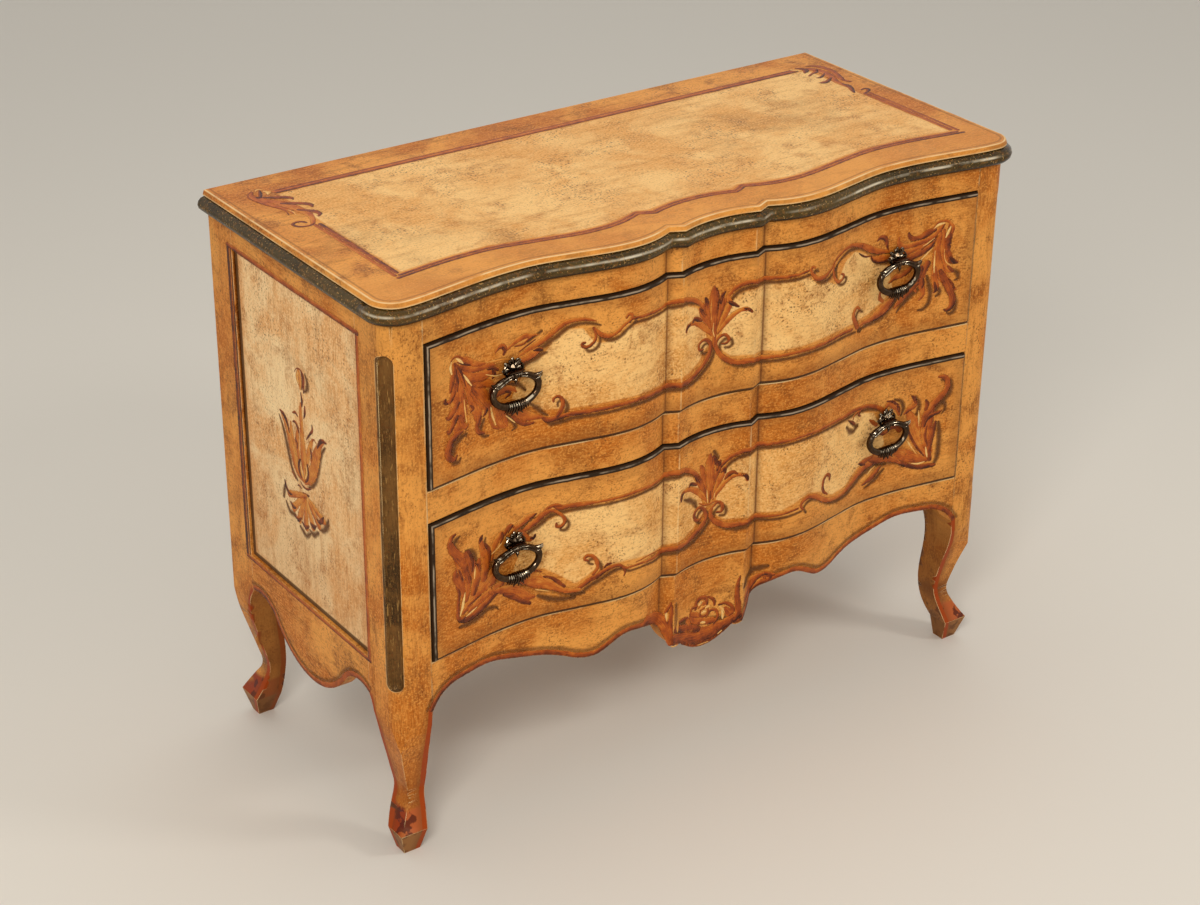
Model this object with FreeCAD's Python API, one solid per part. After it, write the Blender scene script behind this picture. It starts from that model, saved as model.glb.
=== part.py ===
import FreeCAD, Part
import math
import os

V = FreeCAD.Vector

# Chest with a stepped serpentine front, two drawers and cabriole legs.
# Millimetres. X runs to the right seen from the front, the front faces -Y, Z is up.
# The origin is on the floor, under the middle of the whole chest.

# ---- the case
overall_height = 900.0
overall_depth = 525.0
case_half_width = 561.0
moulding_projection = 16.0
top_board_thickness = 18.0
crest_y = -overall_depth / 2 + moulding_projection
back_y = overall_depth / 2
case_top = overall_height - top_board_thickness

# ---- the stepped serpentine line of the front, as distances behind its crest
crest_x = 0.2852 * case_half_width
centre_setback = 19.9
step_front_x = 67.4
step_front_setback = 7.6
step_back_x = 88.6
step_back_setback = 18.0
hollow_x = 0.5918 * case_half_width
hollow_setback = 26.4
corner_setback = 3.8
corner_radius = 30.0
# How round each stretch is, as a share of the roundest that still meets the next one.
crest_inner_fullness = 0.9628
inner_wave_fullness = 0.802
outer_wave_fullness = 0.8564
# The share of the outer wave's roundness that its hollow has; its shoulder has the rest.
outer_hollow_share = 0.6842

# ---- top board and its moulding
lip_projection = 7.5
lip_height = 8.0
lip_slope = 2.8
nose_radius = 11.5
nose_fillet = 2.0
nose_facets = 6
moulding_joint_setback = 46.0

# ---- posts and legs
post_width = 59.0
front_post_depth = 82.0
back_post_depth = 68.5
knee_z = 262.0
calf_z = 174.0
ankle_z = 104.0
instep_z = 78.0
toe_z = 38.7
knee_overshoot = 1.5
front_view_leg = {calf_z: 10.0, ankle_z: 27.5, instep_z: 25.0, toe_z: 1.8, 0.0: 13.0}
front_leg_side = {calf_z: 12.5, ankle_z: 30.0, instep_z: 26.5, toe_z: 7.0, 0.0: 19.0}
back_leg_side = {calf_z: 7.5, ankle_z: 25.0, instep_z: 20.5, toe_z: 0.8, 0.0: 13.0}
front_fork_z = 244.0
side_fork_z = 254.0
back_of_calf_z = 200.0
back_of_ankle_z = 106.0
heel_z = 75.0
front_view_inner = {back_of_calf_z: 3.5, back_of_ankle_z: 0.5, heel_z: 4.5, toe_z: 12.0, 0.0: 19.0}
front_leg_inner = {back_of_calf_z: 16.5, back_of_ankle_z: 11.5, heel_z: 15.0, toe_z: 36.5, 0.0: 40.0}
back_leg_inner = {back_of_calf_z: 22.0, back_of_ankle_z: 17.5, heel_z: 16.5, toe_z: 19.0, 0.0: 36.0}
ridge_z = 120.0

# ---- flute on each front corner; its heading is measured from the side of the chest
flute_width = 24.4
flute_cutter_radius = 14.0
flute_heading = 33.5
flute_bottom_z = 288.0
flute_top_z = case_top - 63.0

# ---- rails, aprons and panels
top_rail_height = 54.0
middle_rail_height = 50.0
lower_opening_bottom = 326.0
lower_drawer_extra = 2.0
front_rail_depth = 62.5
apron_thickness = 28.0
side_frame_thickness = 22.0
side_sill_drop = 8.0
side_panel_recess = 5.0
side_panel_thickness = 8.0
panel_tongue = 8.0
tenon_length = 25.0
tenon_thickness = 10.0
tenon_shoulder = 8.0
back_panel_thickness = 5.0
back_panel_inset = 2.0
back_panel_rebate = 10.0
back_rail_thickness = 22.0
back_panel_bottom = 285.0
back_top_rail_height = 60.0
back_bottom_rail_height = 60.0

# Lower edge of the front apron as (distance from the middle, height); every stretch is an arc
# that leaves the one before it smoothly. The distances are those of the template, and are
# stretched to the length between the posts.
apron_end_run = 22.0
shell_bottom = (0.0, 172.5)
shell_edge = ((24.0, 178.2), (51.0, 197.7))
ear_hollow = (58.5, 195.8)
ear_tip = (67.0, 199.5)
lobe_bottom = (225.0, 237.0)
lobe_inner_edge = ((203.0, 243.0), (180.0, 256.0), (150.0, 261.7), (106.0, 252.0), (87.0, 232.0), ear_tip)
lobe_outer_edge = ((255.0, 243.5), (303.0, 259.0), (371.0, 275.3), (410.0, 280.0), (455.0, 277.0),
                   (480.0, 268.5))

# Lower edge of the side apron as (distance behind the front post, height), built the same way.
side_end_run = 32.7
side_lobe_bottom = (176.0, 185.0)
side_lobe_front_edge = ((121.0, 198.0), (70.0, 240.0), (47.0, 257.3))
side_lobe_back_edge = ((232.0, 198.0), (280.0, 236.0), (322.0, 259.5))

# ---- drawers
reveal = 1.5
running_gap = 0.3
drawer_proud = 5.0
drawer_lip_radius = 4.6
drawer_lip_facets = 2
drawer_front_depth = 42.5
drawer_wall = 12.0
drawer_side_drop = 8.5
drawer_end_clearance = 40.5
drawer_back_inset = 4.0
bottom_thickness = 6.0
bottom_raise = 12.0
groove_depth = 6.0
tail_count = 4
tail_length = 14.0
tail_root_share = 0.52
tail_tip_share = 0.72

# ---- runners, guides, kickers, stops and glue blocks
runner_width = 30.0
guide_width = 20.0
guide_height = 30.0
lower_runner_height = 30.0
kicker_height = 20.0
stop_width = 24.0
stop_height = 24.0
block_size = 36.0
block_places = (-380.0, 0.0, 380.0)

# ---- drop handles
handle_from_drawer_end = 148.5
hinge_above_middle = 24.5
hinge_height = 10.5
bail_half_width = 37.8
bail_half_height = 23.5
bail_steps = 24
bail_wire_radius = 4.3
wire_facets = 6
horn_angle = 62.0
pivot_radius = 2.6
pivot_gap = 0.1
collar_radius = 4.6
collar_start = 4.0
collar_end = 9.0
grip_radius = 5.6
grip_steps = 2
bead_radius = 6.6
horn_length = 11.0
horn_radius = 2.4
horn_rise = 0.55
eye_radius = 5.4
eye_half_length = 3.6
stem_half_width = 3.0
bolt_radius = 2.5
bolt_gap = 0.3
thread_gap = 0.05
seat_gap = 0.1
bolt_end = 8.0
shell_height = 21.0
shell_half_width = 14.5
shell_thickness = 4.0
shell_lobes = 5
shell_notch = 0.86
lobe_corners = (0, 0.3, 0.7)
shell_drop = 11.0
shell_waist = 0.4
nut_across = 12.0
nut_thickness = 5.0

# ---- places worked out from the sizes above
post_inner_x = case_half_width - post_width
corner_x = case_half_width - corner_radius
corner_y = crest_y + corner_setback
corner_centre_y = corner_y + corner_radius
front_post_back_y = corner_y + front_post_depth
back_post_front_y = back_y - back_post_depth
panel_outer_x = case_half_width - side_panel_recess
panel_inner_x = panel_outer_x - side_panel_thickness
frame_inner_x = case_half_width - side_frame_thickness
back_panel_y = back_y - back_panel_inset - back_panel_thickness
back_rail_y = back_panel_y - back_rail_thickness
drawer_half_width = post_inner_x - reveal
handle_x = drawer_half_width - handle_from_drawer_end
runner_inner_x = post_inner_x - runner_width
rail_back_y = crest_y + front_rail_depth
drawer_front_back_y = crest_y + drawer_front_depth
drawer_end_y = back_y - drawer_end_clearance
upper_opening_top = case_top - top_rail_height
both_openings = upper_opening_top - lower_opening_bottom - middle_rail_height
lower_opening_top = lower_opening_bottom + (both_openings + lower_drawer_extra) / 2
upper_opening_bottom = lower_opening_top + middle_rail_height
upper_hinge_z = (upper_opening_bottom + upper_opening_top) / 2 + hinge_above_middle
lower_hinge_z = (lower_opening_bottom + lower_opening_top) / 2 + hinge_above_middle
upper_runner_height = middle_rail_height - running_gap
side_opening_bottom = lower_opening_bottom - side_sill_drop


def roundest(across, rise):
    """The radius, or the two radii added up, of the roundest line between two points."""
    return (across ** 2 + rise ** 2) / (2 * rise)


crest_inner_radius = crest_inner_fullness * roundest(crest_x - step_back_x, step_back_setback)
inner_wave_radii = inner_wave_fullness * roundest(hollow_x - crest_x, hollow_setback)
outer_wave_radii = outer_wave_fullness * roundest(corner_x - hollow_x, hollow_setback - corner_setback)
crest_outer_radius = hollow_inner_radius = inner_wave_radii / 2
hollow_outer_radius = outer_hollow_share * outer_wave_radii
shoulder_radius = outer_wave_radii - hollow_outer_radius


def box(x0, x1, y0, y1, z0, z1):
    """A box between two corners, given in either order."""
    low = V(min(x0, x1), min(y0, y1), min(z0, z1))
    return Part.makeBox(abs(x1 - x0), abs(y1 - y0), abs(z1 - z0), low)


def line(a, b):
    return Part.LineSegment(a, b).toShape()


def arc(a, middle, b):
    return Part.Arc(a, middle, b).toShape()


def polygon(points):
    return Part.Face(Part.makePolygon(points + points[:1]))


def smooth(points):
    """A curve through the points, like a batten held at each."""
    curve = Part.BSplineCurve()
    curve.interpolate(points)
    return curve.toShape()


def scroll(start, heading, ends, place):
    """Arcs from point to point, each leaving in the direction in which the last one arrived.

    Points are (u, v) pairs, the heading is in degrees from +u, and place(u, v) puts them in space.
    """
    edges = []
    heading = math.radians(heading)
    for end in ends:
        chord = math.hypot(end[0] - start[0], end[1] - start[1])
        direction = math.atan2(end[1] - start[1], end[0] - start[0])
        half_turn = math.remainder(direction - heading, 2 * math.pi)
        sagitta = chord / 2 * math.tan(half_turn / 2)
        middle = ((start[0] + end[0]) / 2 + sagitta * math.sin(direction),
                  (start[1] + end[1]) / 2 - sagitta * math.cos(direction))
        edges.append(arc(place(*start), place(*middle), place(*end)))
        heading += 2 * half_turn
        start = end
    return edges


def extruded(edges, direction):
    return Part.Face(Part.Wire(edges)).extrude(direction)


def mirrored(shape):
    """The same piece for the other side of the chest."""
    return shape.mirror(V(0, 0, 0), V(1, 0, 0))


def one(shape):
    """The single solid of a shape, with faces left over from cuts merged."""
    clean = shape.removeSplitter()
    return clean.Solids[0] if len(clean.Solids) == 1 else clean


def save(name, shape):
    shape.exportStep("parts/" + name + ".step")


# ---------------------------------------------------------------- plan of the case

def wave(x0, setback0, radius0, x1, setback1, radius1):
    """Two arcs and their common tangent from one level point of the front to the next."""
    way = 1 if setback1 > setback0 else -1
    across = x1 - x0
    rise = abs(setback1 - setback0) - radius0 - radius1
    turn = math.atan2(rise, across) + math.asin((radius0 + radius1) / math.hypot(across, rise))

    def leaving(angle):
        return x0 + radius0 * math.sin(angle), setback0 + way * radius0 * (1 - math.cos(angle))

    def arriving(angle):
        return x1 - radius1 * math.sin(angle), setback1 - way * radius1 * (1 - math.cos(angle))

    return (leaving(0), leaving(turn / 2), leaving(turn),
            arriving(turn), arriving(turn / 2), arriving(0))


def front_flank(side, ahead):
    """One side of the front line, from its step out to the rounded corner."""
    def at(x, setback):
        return V(side * x, crest_y - ahead + setback, 0)

    def wave_edges(*ends):
        points = [at(*pair) for pair in wave(*ends)]
        return [arc(*points[:3]), line(*points[2:4]), arc(*points[3:])]

    away = crest_x - step_back_x
    drop = crest_inner_radius - step_back_setback
    turn = math.asin(crest_inner_radius / math.hypot(away, drop)) - math.atan2(drop, away)

    def crest(angle):
        return at(crest_x - crest_inner_radius * math.sin(angle),
                  crest_inner_radius * (1 - math.cos(angle)))

    step = at(step_back_x, step_back_setback)
    return [
        line(at(step_front_x, step_front_setback), step),
        line(step, crest(turn)),
        arc(crest(turn), crest(turn / 2), crest(0)),
        *wave_edges(crest_x, 0.0, crest_outer_radius, hollow_x, hollow_setback, hollow_inner_radius),
        *wave_edges(hollow_x, hollow_setback, hollow_outer_radius,
                    corner_x, corner_setback, shoulder_radius),
    ]


def front_line(ahead):
    """The whole stepped serpentine, from the left corner to the right one."""
    def at(x, setback):
        return V(x, crest_y - ahead + setback, 0)
    centre = arc(at(-step_front_x, step_front_setback), at(0, centre_setback),
                 at(step_front_x, step_front_setback))
    return front_flank(-1, ahead)[::-1] + [centre] + front_flank(1, ahead)


def front_y_at(x, ahead):
    """Where the front line stands at a distance from the middle."""
    probe = line(V(x, -2 * overall_depth, 0), V(x, 0, 0))
    return min(probe.distToShape(edge)[1][0][0].y for edge in front_line(ahead)
               if probe.distToShape(edge)[0] < 1e-6)


def case_prism(ahead, z0, z1):
    """The plan of the case, with its front and sides moved out by a distance, between two heights."""
    radius = corner_radius + ahead
    side_x = case_half_width + ahead
    diagonal = math.cos(math.pi / 4)

    def corner(side):
        middle = V(side * (corner_x + radius * diagonal), corner_centre_y - radius * diagonal, 0)
        return arc(V(side * corner_x, corner_centre_y - radius, 0), middle,
                   V(side * side_x, corner_centre_y, 0))

    edges = front_line(ahead) + [
        corner(1),
        line(V(side_x, corner_centre_y, 0), V(side_x, back_y, 0)),
        line(V(side_x, back_y, 0), V(-side_x, back_y, 0)),
        line(V(-side_x, back_y, 0), V(-side_x, corner_centre_y, 0)),
        corner(-1),
    ]
    prism = extruded(edges, V(0, 0, z1 - z0))
    prism.translate(V(0, 0, z0))
    return prism


def front_slab(low, high):
    """Slab under the serpentine whose front leans; low and high are (ahead, height) pairs."""
    z0 = low[1]
    left = V(-corner_x, corner_y - low[0], 0)
    right = V(corner_x, corner_y - low[0], 0)
    edges = front_line(low[0]) + [
        line(right, V(corner_x, 0, 0)),
        line(V(corner_x, 0, 0), V(-corner_x, 0, 0)),
        line(V(-corner_x, 0, 0), left),
    ]
    slab = extruded(edges, V(0, low[0] - high[0], high[1] - z0))
    slab.translate(V(0, 0, z0))
    return slab


def band(profile):
    """A moulding of one section round the front, both corners and the sides of the case.

    The profile is a list of (ahead, height) pairs up its outer face; its back is the case itself.
    """
    low = profile[0][1]
    high = profile[-1][1]
    slabs = [front_slab(*pair) for pair in zip(profile, profile[1:])]
    front = slabs[0].fuse(slabs[1:]) if slabs[1:] else slabs[0]
    front = front.cut(case_prism(0.0, low - 1, high + 1))
    section = [(0.0, high), (0.0, low)] + [pair for pair in profile if pair[0] > 0]
    corner_face = polygon([V(corner_x, corner_y - ahead, z) for ahead, z in section])
    corner = corner_face.revolve(V(corner_x, corner_centre_y, 0), V(0, 0, 1), 90)
    side_face = polygon([V(case_half_width + ahead, corner_centre_y, z) for ahead, z in section])
    side = side_face.extrude(V(0, back_y - corner_centre_y, 0))
    return front.fuse([corner, side, mirrored(corner), mirrored(side)])


# ---------------------------------------------------------------- top

def top_board():
    lip_z = overall_height - lip_height
    lip = band([(lip_projection, lip_z), (lip_projection - lip_slope, overall_height)])
    return one(case_prism(0.0, case_top, overall_height).fuse(lip))


def moulding_strips():
    """Half-round moulding under the lip: a front strip with both corners, and two returns."""
    top_z = overall_height - lip_height
    centre_z = top_z - nose_fillet - nose_radius
    profile = []
    for step in range(nose_facets + 1):
        turn = math.pi * (step / nose_facets - 0.5)
        profile.append((moulding_projection - nose_radius * (1 - math.cos(turn)),
                        centre_z + nose_radius * math.sin(turn)))
    profile.append((moulding_projection - nose_radius, top_z))
    frame = band(profile)
    bottom_z = centre_z - nose_radius
    wide = case_half_width + 2 * moulding_projection
    joint_y = corner_y + moulding_joint_setback
    front_zone = box(-wide, wide, crest_y - 2 * moulding_projection, joint_y, bottom_z, top_z)
    right_zone = box(0, wide, joint_y, back_y, bottom_z, top_z)
    right = one(frame.common(right_zone))
    return {
        "moulding_front": one(frame.common(front_zone)),
        "moulding_right": right,
        "moulding_left": mirrored(right),
    }


# ---------------------------------------------------------------- posts with cabriole legs

def leg_profile(place, insets, thickness, fork_z, inner_depths):
    """One band-sawn view of a post: place(u, z) puts a point, u runs in from the outer face.

    The insets are measured from the outer face and the inner depths from the post's inner face.
    """
    knee = (-knee_overshoot, knee_z)
    outer = [(insets[z], z) for z in (calf_z, ankle_z, instep_z, toe_z)]
    fork = place(thickness, fork_z)
    inner = [place(thickness - depth, z) for z, depth in inner_depths.items()]
    outer_top = place(-knee_overshoot, case_top)
    inner_top = place(thickness, case_top)
    sole = place(insets[0.0], 0.0)
    return [
        line(outer_top, place(*knee)),
        *scroll(knee, -90, outer, place),
        line(place(*outer[-1]), sole),
        line(sole, inner[-1]),
        line(inner[-1], inner[-2]),
        smooth([fork] + inner[:-1]),
        line(fork, inner_top),
        line(inner_top, outer_top),
    ]


def crossed_profiles(front_edges, side_edges):
    """A leg as it is sawn: the front view cut through, then the side view."""
    span = 3 * overall_depth
    front_cut = extruded(front_edges, V(0, span, 0))
    side_cut = extruded(side_edges, V(span, 0, 0))
    return front_cut.common(side_cut)


def front_view_edges():
    def place(u, z):
        return V(case_half_width - u, -overall_depth, z)
    return leg_profile(place, front_view_leg, post_width, front_fork_z, front_view_inner)


def flute():
    """The path of a round-nosed cutter run down the rounded corner."""
    half = flute_width / 2
    to_rim = math.sqrt(flute_cutter_radius ** 2 - half ** 2)
    reach = math.sqrt(corner_radius ** 2 - half ** 2) + to_rim
    heading = math.radians(flute_heading)
    x = corner_x + reach * math.cos(heading)
    y = corner_centre_y - reach * math.sin(heading)
    low = flute_bottom_z + half
    high = flute_top_z - half
    shaft = Part.makeCylinder(flute_cutter_radius, high - low, V(x, y, low))
    ends = [Part.makeSphere(flute_cutter_radius, V(x, y, z)) for z in (low, high)]
    return shaft.fuse(ends)


def front_post():
    def place(u, z):
        return V(0, corner_y + u, z)
    side_edges = leg_profile(place, front_leg_side, front_post_depth, side_fork_z, front_leg_inner)
    crossed = crossed_profiles(front_view_edges(), side_edges)
    upper = case_prism(0.0, ridge_z, case_top)
    lower = box(0, overall_depth * 2, -overall_depth, overall_depth, 0, ridge_z)
    post = crossed.common(upper.fuse(lower))
    return one(post.cut(flute()))


def back_post():
    def place(u, z):
        return V(0, back_y - u, z)
    side_edges = leg_profile(place, back_leg_side, back_post_depth, side_fork_z, back_leg_inner)
    crossed = crossed_profiles(front_view_edges(), side_edges)
    square = box(0, case_half_width, -overall_depth, back_y, 0, case_top)
    rebate = box(0, post_inner_x + back_panel_rebate, back_panel_y, back_y + 1,
                 back_panel_bottom, case_top)
    return one(crossed.common(square).cut(rebate))


# ---------------------------------------------------------------- rails, aprons and panels

def tenons(z0, z1, y_middle):
    """A bar whose two ends are the tenons of a front or back rail."""
    reach = post_inner_x + tenon_length
    return box(-reach, reach, y_middle - tenon_thickness / 2, y_middle + tenon_thickness / 2,
               z0 + tenon_shoulder, z1 - tenon_shoulder)


def side_tenons(z0, z1):
    middle = case_half_width - side_frame_thickness / 2
    return box(middle - tenon_thickness / 2, middle + tenon_thickness / 2,
               front_post_back_y - tenon_length, back_post_front_y + tenon_length,
               z0 + tenon_shoulder, z1 - tenon_shoulder)


def front_rail(z0, z1):
    """A rail sawn to the serpentine in front and straight behind, tenoned into the posts."""
    between = box(-post_inner_x, post_inner_x, -overall_depth, rail_back_y, z0, z1)
    body = case_prism(0.0, z0, z1).common(between)
    return one(body.fuse(tenons(z0, z1, rail_back_y - tenon_thickness)))


def front_apron():
    """Bottom rail with a scrolled lower edge that drops to a shell between two ears."""
    template_end = lobe_outer_edge[-1][0] + apron_end_run
    stretch = post_inner_x / template_end

    def half(side):
        def at(x, z):
            return V(side * x * stretch, -overall_depth, z)
        return [
            *scroll(shell_bottom, 0, shell_edge, at),
            arc(at(*shell_edge[-1]), at(*ear_hollow), at(*ear_tip)),
            *scroll(lobe_bottom, 180, lobe_inner_edge, at)[::-1],
            *scroll(lobe_bottom, 0, lobe_outer_edge + ((template_end, front_fork_z),), at),
            line(at(template_end, front_fork_z), at(template_end, lower_opening_bottom)),
        ]
    top = line(V(post_inner_x, -overall_depth, lower_opening_bottom),
               V(-post_inner_x, -overall_depth, lower_opening_bottom))
    sawn = extruded(half(-1)[::-1] + half(1) + [top], V(0, overall_depth, 0))
    shell = case_prism(0.0, 0, lower_opening_bottom).cut(
        case_prism(-apron_thickness, -1, lower_opening_bottom + 1))
    body = sawn.common(shell)
    tenon = tenons(side_fork_z, lower_opening_bottom, corner_y + apron_thickness / 2)
    ends = tenon.cut(box(-post_inner_x, post_inner_x, -overall_depth, 0, 0, case_top))
    return one(body.fuse(ends))


def side_top_rail():
    body = box(frame_inner_x, case_half_width, front_post_back_y, back_post_front_y,
               upper_opening_top, case_top)
    return one(body.fuse(side_tenons(upper_opening_top, case_top)).cut(side_panel()))


def side_apron():
    """Lower side rail with one deep lobe between the leg arches."""
    length = side_lobe_back_edge[-1][0] + side_end_run
    stretch = (back_post_front_y - front_post_back_y) / length

    def at(y, z):
        return V(frame_inner_x, front_post_back_y + y * stretch, z)

    front_edge = scroll(side_lobe_bottom, 180, side_lobe_front_edge + ((0.0, side_fork_z),), at)
    back_edge = scroll(side_lobe_bottom, 0, side_lobe_back_edge + ((length, side_fork_z),), at)
    edges = front_edge[::-1] + back_edge + [
        line(at(length, side_fork_z), at(length, side_opening_bottom)),
        line(at(length, side_opening_bottom), at(0, side_opening_bottom)),
        line(at(0, side_opening_bottom), at(0, side_fork_z)),
    ]
    body = extruded(edges, V(side_frame_thickness, 0, 0))
    tenon = side_tenons(side_fork_z, side_opening_bottom)
    return one(body.fuse(tenon).cut(side_panel()))


def side_panel():
    return box(panel_inner_x, panel_outer_x, front_post_back_y - panel_tongue,
               back_post_front_y + panel_tongue, side_opening_bottom - panel_tongue,
               upper_opening_top + panel_tongue)


def back_rail(z0, z1):
    body = box(-post_inner_x, post_inner_x, back_rail_y, back_panel_y, z0, z1)
    return one(body.fuse(tenons(z0, z1, back_rail_y + back_rail_thickness / 2)))


def back_panel():
    half = post_inner_x + back_panel_rebate
    return box(-half, half, back_panel_y, back_panel_y + back_panel_thickness,
               back_panel_bottom, case_top)


# ---------------------------------------------------------------- what carries the drawers

def runner(opening_bottom, height, front_y):
    """Strip under a drawer's side, notched round both posts."""
    top = opening_bottom + reveal - running_gap
    return box(runner_inner_x, post_inner_x + guide_width, front_y, back_rail_y, top - height, top)


def guide(opening_bottom):
    bottom = opening_bottom + reveal - running_gap
    return box(post_inner_x, post_inner_x + guide_width, front_post_back_y, back_post_front_y,
               bottom, bottom + guide_height)


def kicker():
    return box(runner_inner_x, post_inner_x, rail_back_y, back_rail_y,
               upper_opening_top, upper_opening_top + kicker_height)


def stop(opening_bottom):
    bottom = opening_bottom + reveal - running_gap
    return box(post_inner_x - stop_width, post_inner_x, drawer_end_y + running_gap, back_rail_y,
               bottom, bottom + stop_height)


def glue_blocks():
    """Three-cornered blocks under the top board, against the front and back rails."""
    blocks = []
    for x in block_places:
        for y, inward in ((rail_back_y, 1), (back_rail_y, -1)):
            corner = V(x - block_size / 2, y, case_top)
            section = polygon([corner, corner + V(0, inward * block_size, 0),
                               corner + V(0, 0, -block_size)])
            blocks.append(section.extrude(V(block_size, 0, 0)))
    return Part.makeCompound(blocks)


# ---------------------------------------------------------------- drawers

def lip_steps():
    """Corners of the quarter-round on a drawer front, as shares in from its face and its edge."""
    turns = [math.pi / 2 * step / drawer_lip_facets for step in range(drawer_lip_facets + 1)]
    return [((1 - math.sin(turn)) * drawer_lip_radius, (1 - math.cos(turn)) * drawer_lip_radius)
            for turn in turns]


def drawer_front(z0, z1):
    """Front sawn to the serpentine, with its outer edges rounded all the way round."""
    steps = lip_steps()
    levels = [(drawer_proud - back, z0 + up) for back, up in steps]
    levels += [(drawer_proud - back, z1 - down) for back, down in steps[::-1]]
    slabs = [front_slab(*pair) for pair in zip(levels, levels[1:])]
    end_face_y = front_y_at(drawer_half_width - drawer_lip_radius, drawer_proud)
    rounded = [V(drawer_half_width - inward, end_face_y + back, z0) for back, inward in steps]
    right = [V(drawer_half_width, drawer_front_back_y, z0)] + rounded
    right.append(V(drawer_half_width - drawer_lip_radius, -overall_depth, z0))
    left = [V(-point.x, point.y, point.z) for point in right[::-1]]
    zone = polygon(right + left).extrude(V(0, 0, z1 - z0))
    return one(slabs[0].fuse(slabs[1:]).common(zone))


def drawer_side(z0, z1):
    """A side whose front end is cut into dovetails that lap into the front."""
    inner = drawer_half_width - drawer_wall
    board = box(inner, drawer_half_width, drawer_front_back_y, drawer_end_y, z0, z1)
    pitch = (z1 - z0) / tail_count
    tails = []
    for number in range(tail_count):
        middle = z0 + (number + 0.5) * pitch
        root = tail_root_share * pitch / 2
        tip = tail_tip_share * pitch / 2
        tail = polygon([V(inner, drawer_front_back_y, middle - root),
                        V(inner, drawer_front_back_y - tail_length, middle - tip),
                        V(inner, drawer_front_back_y - tail_length, middle + tip),
                        V(inner, drawer_front_back_y, middle + root)])
        tails.append(tail.extrude(V(drawer_wall, 0, 0)))
    return board.fuse(tails)


def drawer_back(z0, z1):
    back = drawer_end_y - drawer_back_inset
    half = drawer_half_width - drawer_wall + groove_depth
    return box(-half, half, back - drawer_wall, back, z0 + bottom_raise + bottom_thickness, z1)


def drawer_bottom(z0):
    half = drawer_half_width - drawer_wall + groove_depth
    low = z0 + bottom_raise
    return box(-half, half, drawer_front_back_y - groove_depth, drawer_end_y - drawer_back_inset,
               low, low + bottom_thickness)


def drawer(opening_bottom, opening_top, hinge_z):
    """The five boards of one drawer, fitted into each other, bored for the handles."""
    z0 = opening_bottom + reveal
    z1 = opening_top - reveal
    side_top = z1 - drawer_side_drop
    right = drawer_side(z0, side_top)
    left = mirrored(right)
    back = drawer_back(z0, side_top)
    bottom = drawer_bottom(z0)
    bores = [Part.makeCylinder(bolt_radius + bolt_gap, overall_depth,
                               V(x, -overall_depth, hinge_z), V(0, 1, 0))
             for x in (-handle_x, handle_x)]
    return {
        "front": one(drawer_front(z0, z1).cut([right, left, bottom] + bores)),
        "side_right": one(right.cut([back, bottom])),
        "side_left": one(left.cut([back, bottom])),
        "back": back,
        "bottom": bottom,
    }


# ---------------------------------------------------------------- handles

def faceted_section(centre, radius, outward, across):
    """The wire_facets corners of a section round a centre, in the plane of two directions."""
    turns = [2 * math.pi * (corner + 0.5) / wire_facets for corner in range(wire_facets)]
    return [centre + outward * (radius * math.cos(turn)) + across * (radius * math.sin(turn))
            for turn in turns]


def faceted_tube(sections):
    """Solid with flat faces through sections of as many corners each."""
    faces = [polygon(sections[0]), polygon(sections[-1])]
    for near, far in zip(sections, sections[1:]):
        for corner in range(wire_facets):
            other = (corner + 1) % wire_facets
            faces.append(polygon([near[corner], near[other], far[other]]))
            faces.append(polygon([near[corner], far[other], far[corner]]))
    solid = Part.Solid(Part.Shell(faces))
    return solid if solid.Volume > 0 else solid.reversed()


def rod(start, reach, radius, tip_radius):
    """A faceted rod or spike in the XZ plane."""
    outward = V(reach.z, 0, -reach.x).normalize()
    across = V(0, 1, 0)
    return faceted_tube([faceted_section(start, radius, outward, across),
                         faceted_section(start + reach, tip_radius, outward, across)])


def oval_point(step):
    """A corner of the faceted oval on which the drop ring is bent, counted from the right collar."""
    first = math.asin(collar_end / bail_half_width)
    turn = first + 2 * (math.pi - first) * step / bail_steps
    return V(bail_half_width * math.sin(turn), 0, bail_half_height * (math.cos(turn) - 1))


def bail_station(step):
    """Section of the drop ring in the mitre between two of its straight facets."""
    point = oval_point(step)
    along = (point - oval_point(step - 1)).normalize() + (oval_point(step + 1) - point).normalize()
    outward = V(-along.z, 0, along.x) * (2 / along.Length ** 2)
    from_bottom = abs(step - bail_steps / 2)
    radius = bail_wire_radius
    if from_bottom <= grip_steps:
        radius = grip_radius
    if from_bottom < 1:
        radius = bead_radius
    return faceted_section(point, radius, outward, V(0, 1, 0))


def bail():
    """Oval drop ring with collars at its pivot, a leafy grip and a horn on each shoulder."""
    pieces = [faceted_tube([bail_station(step) for step in range(bail_steps + 1)])]
    shoulder_turn = math.radians(horn_angle)
    for side in (-1, 1):
        shoulder = V(side * bail_half_width * math.sin(shoulder_turn), 0,
                     bail_half_height * (math.cos(shoulder_turn) - 1))
        pieces += [
            rod(V(side * collar_start, 0, 0), V(side * (collar_end - collar_start + 1), 0, 0),
                collar_radius, collar_radius),
            rod(shoulder, V(side, 0, horn_rise).normalize() * horn_length,
                horn_radius, horn_radius / 4),
        ]
    pin = Part.makeCylinder(pivot_radius, 2 * collar_end, V(-collar_end, 0, 0), V(1, 0, 0))
    return one(pin.fuse(pieces))


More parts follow.
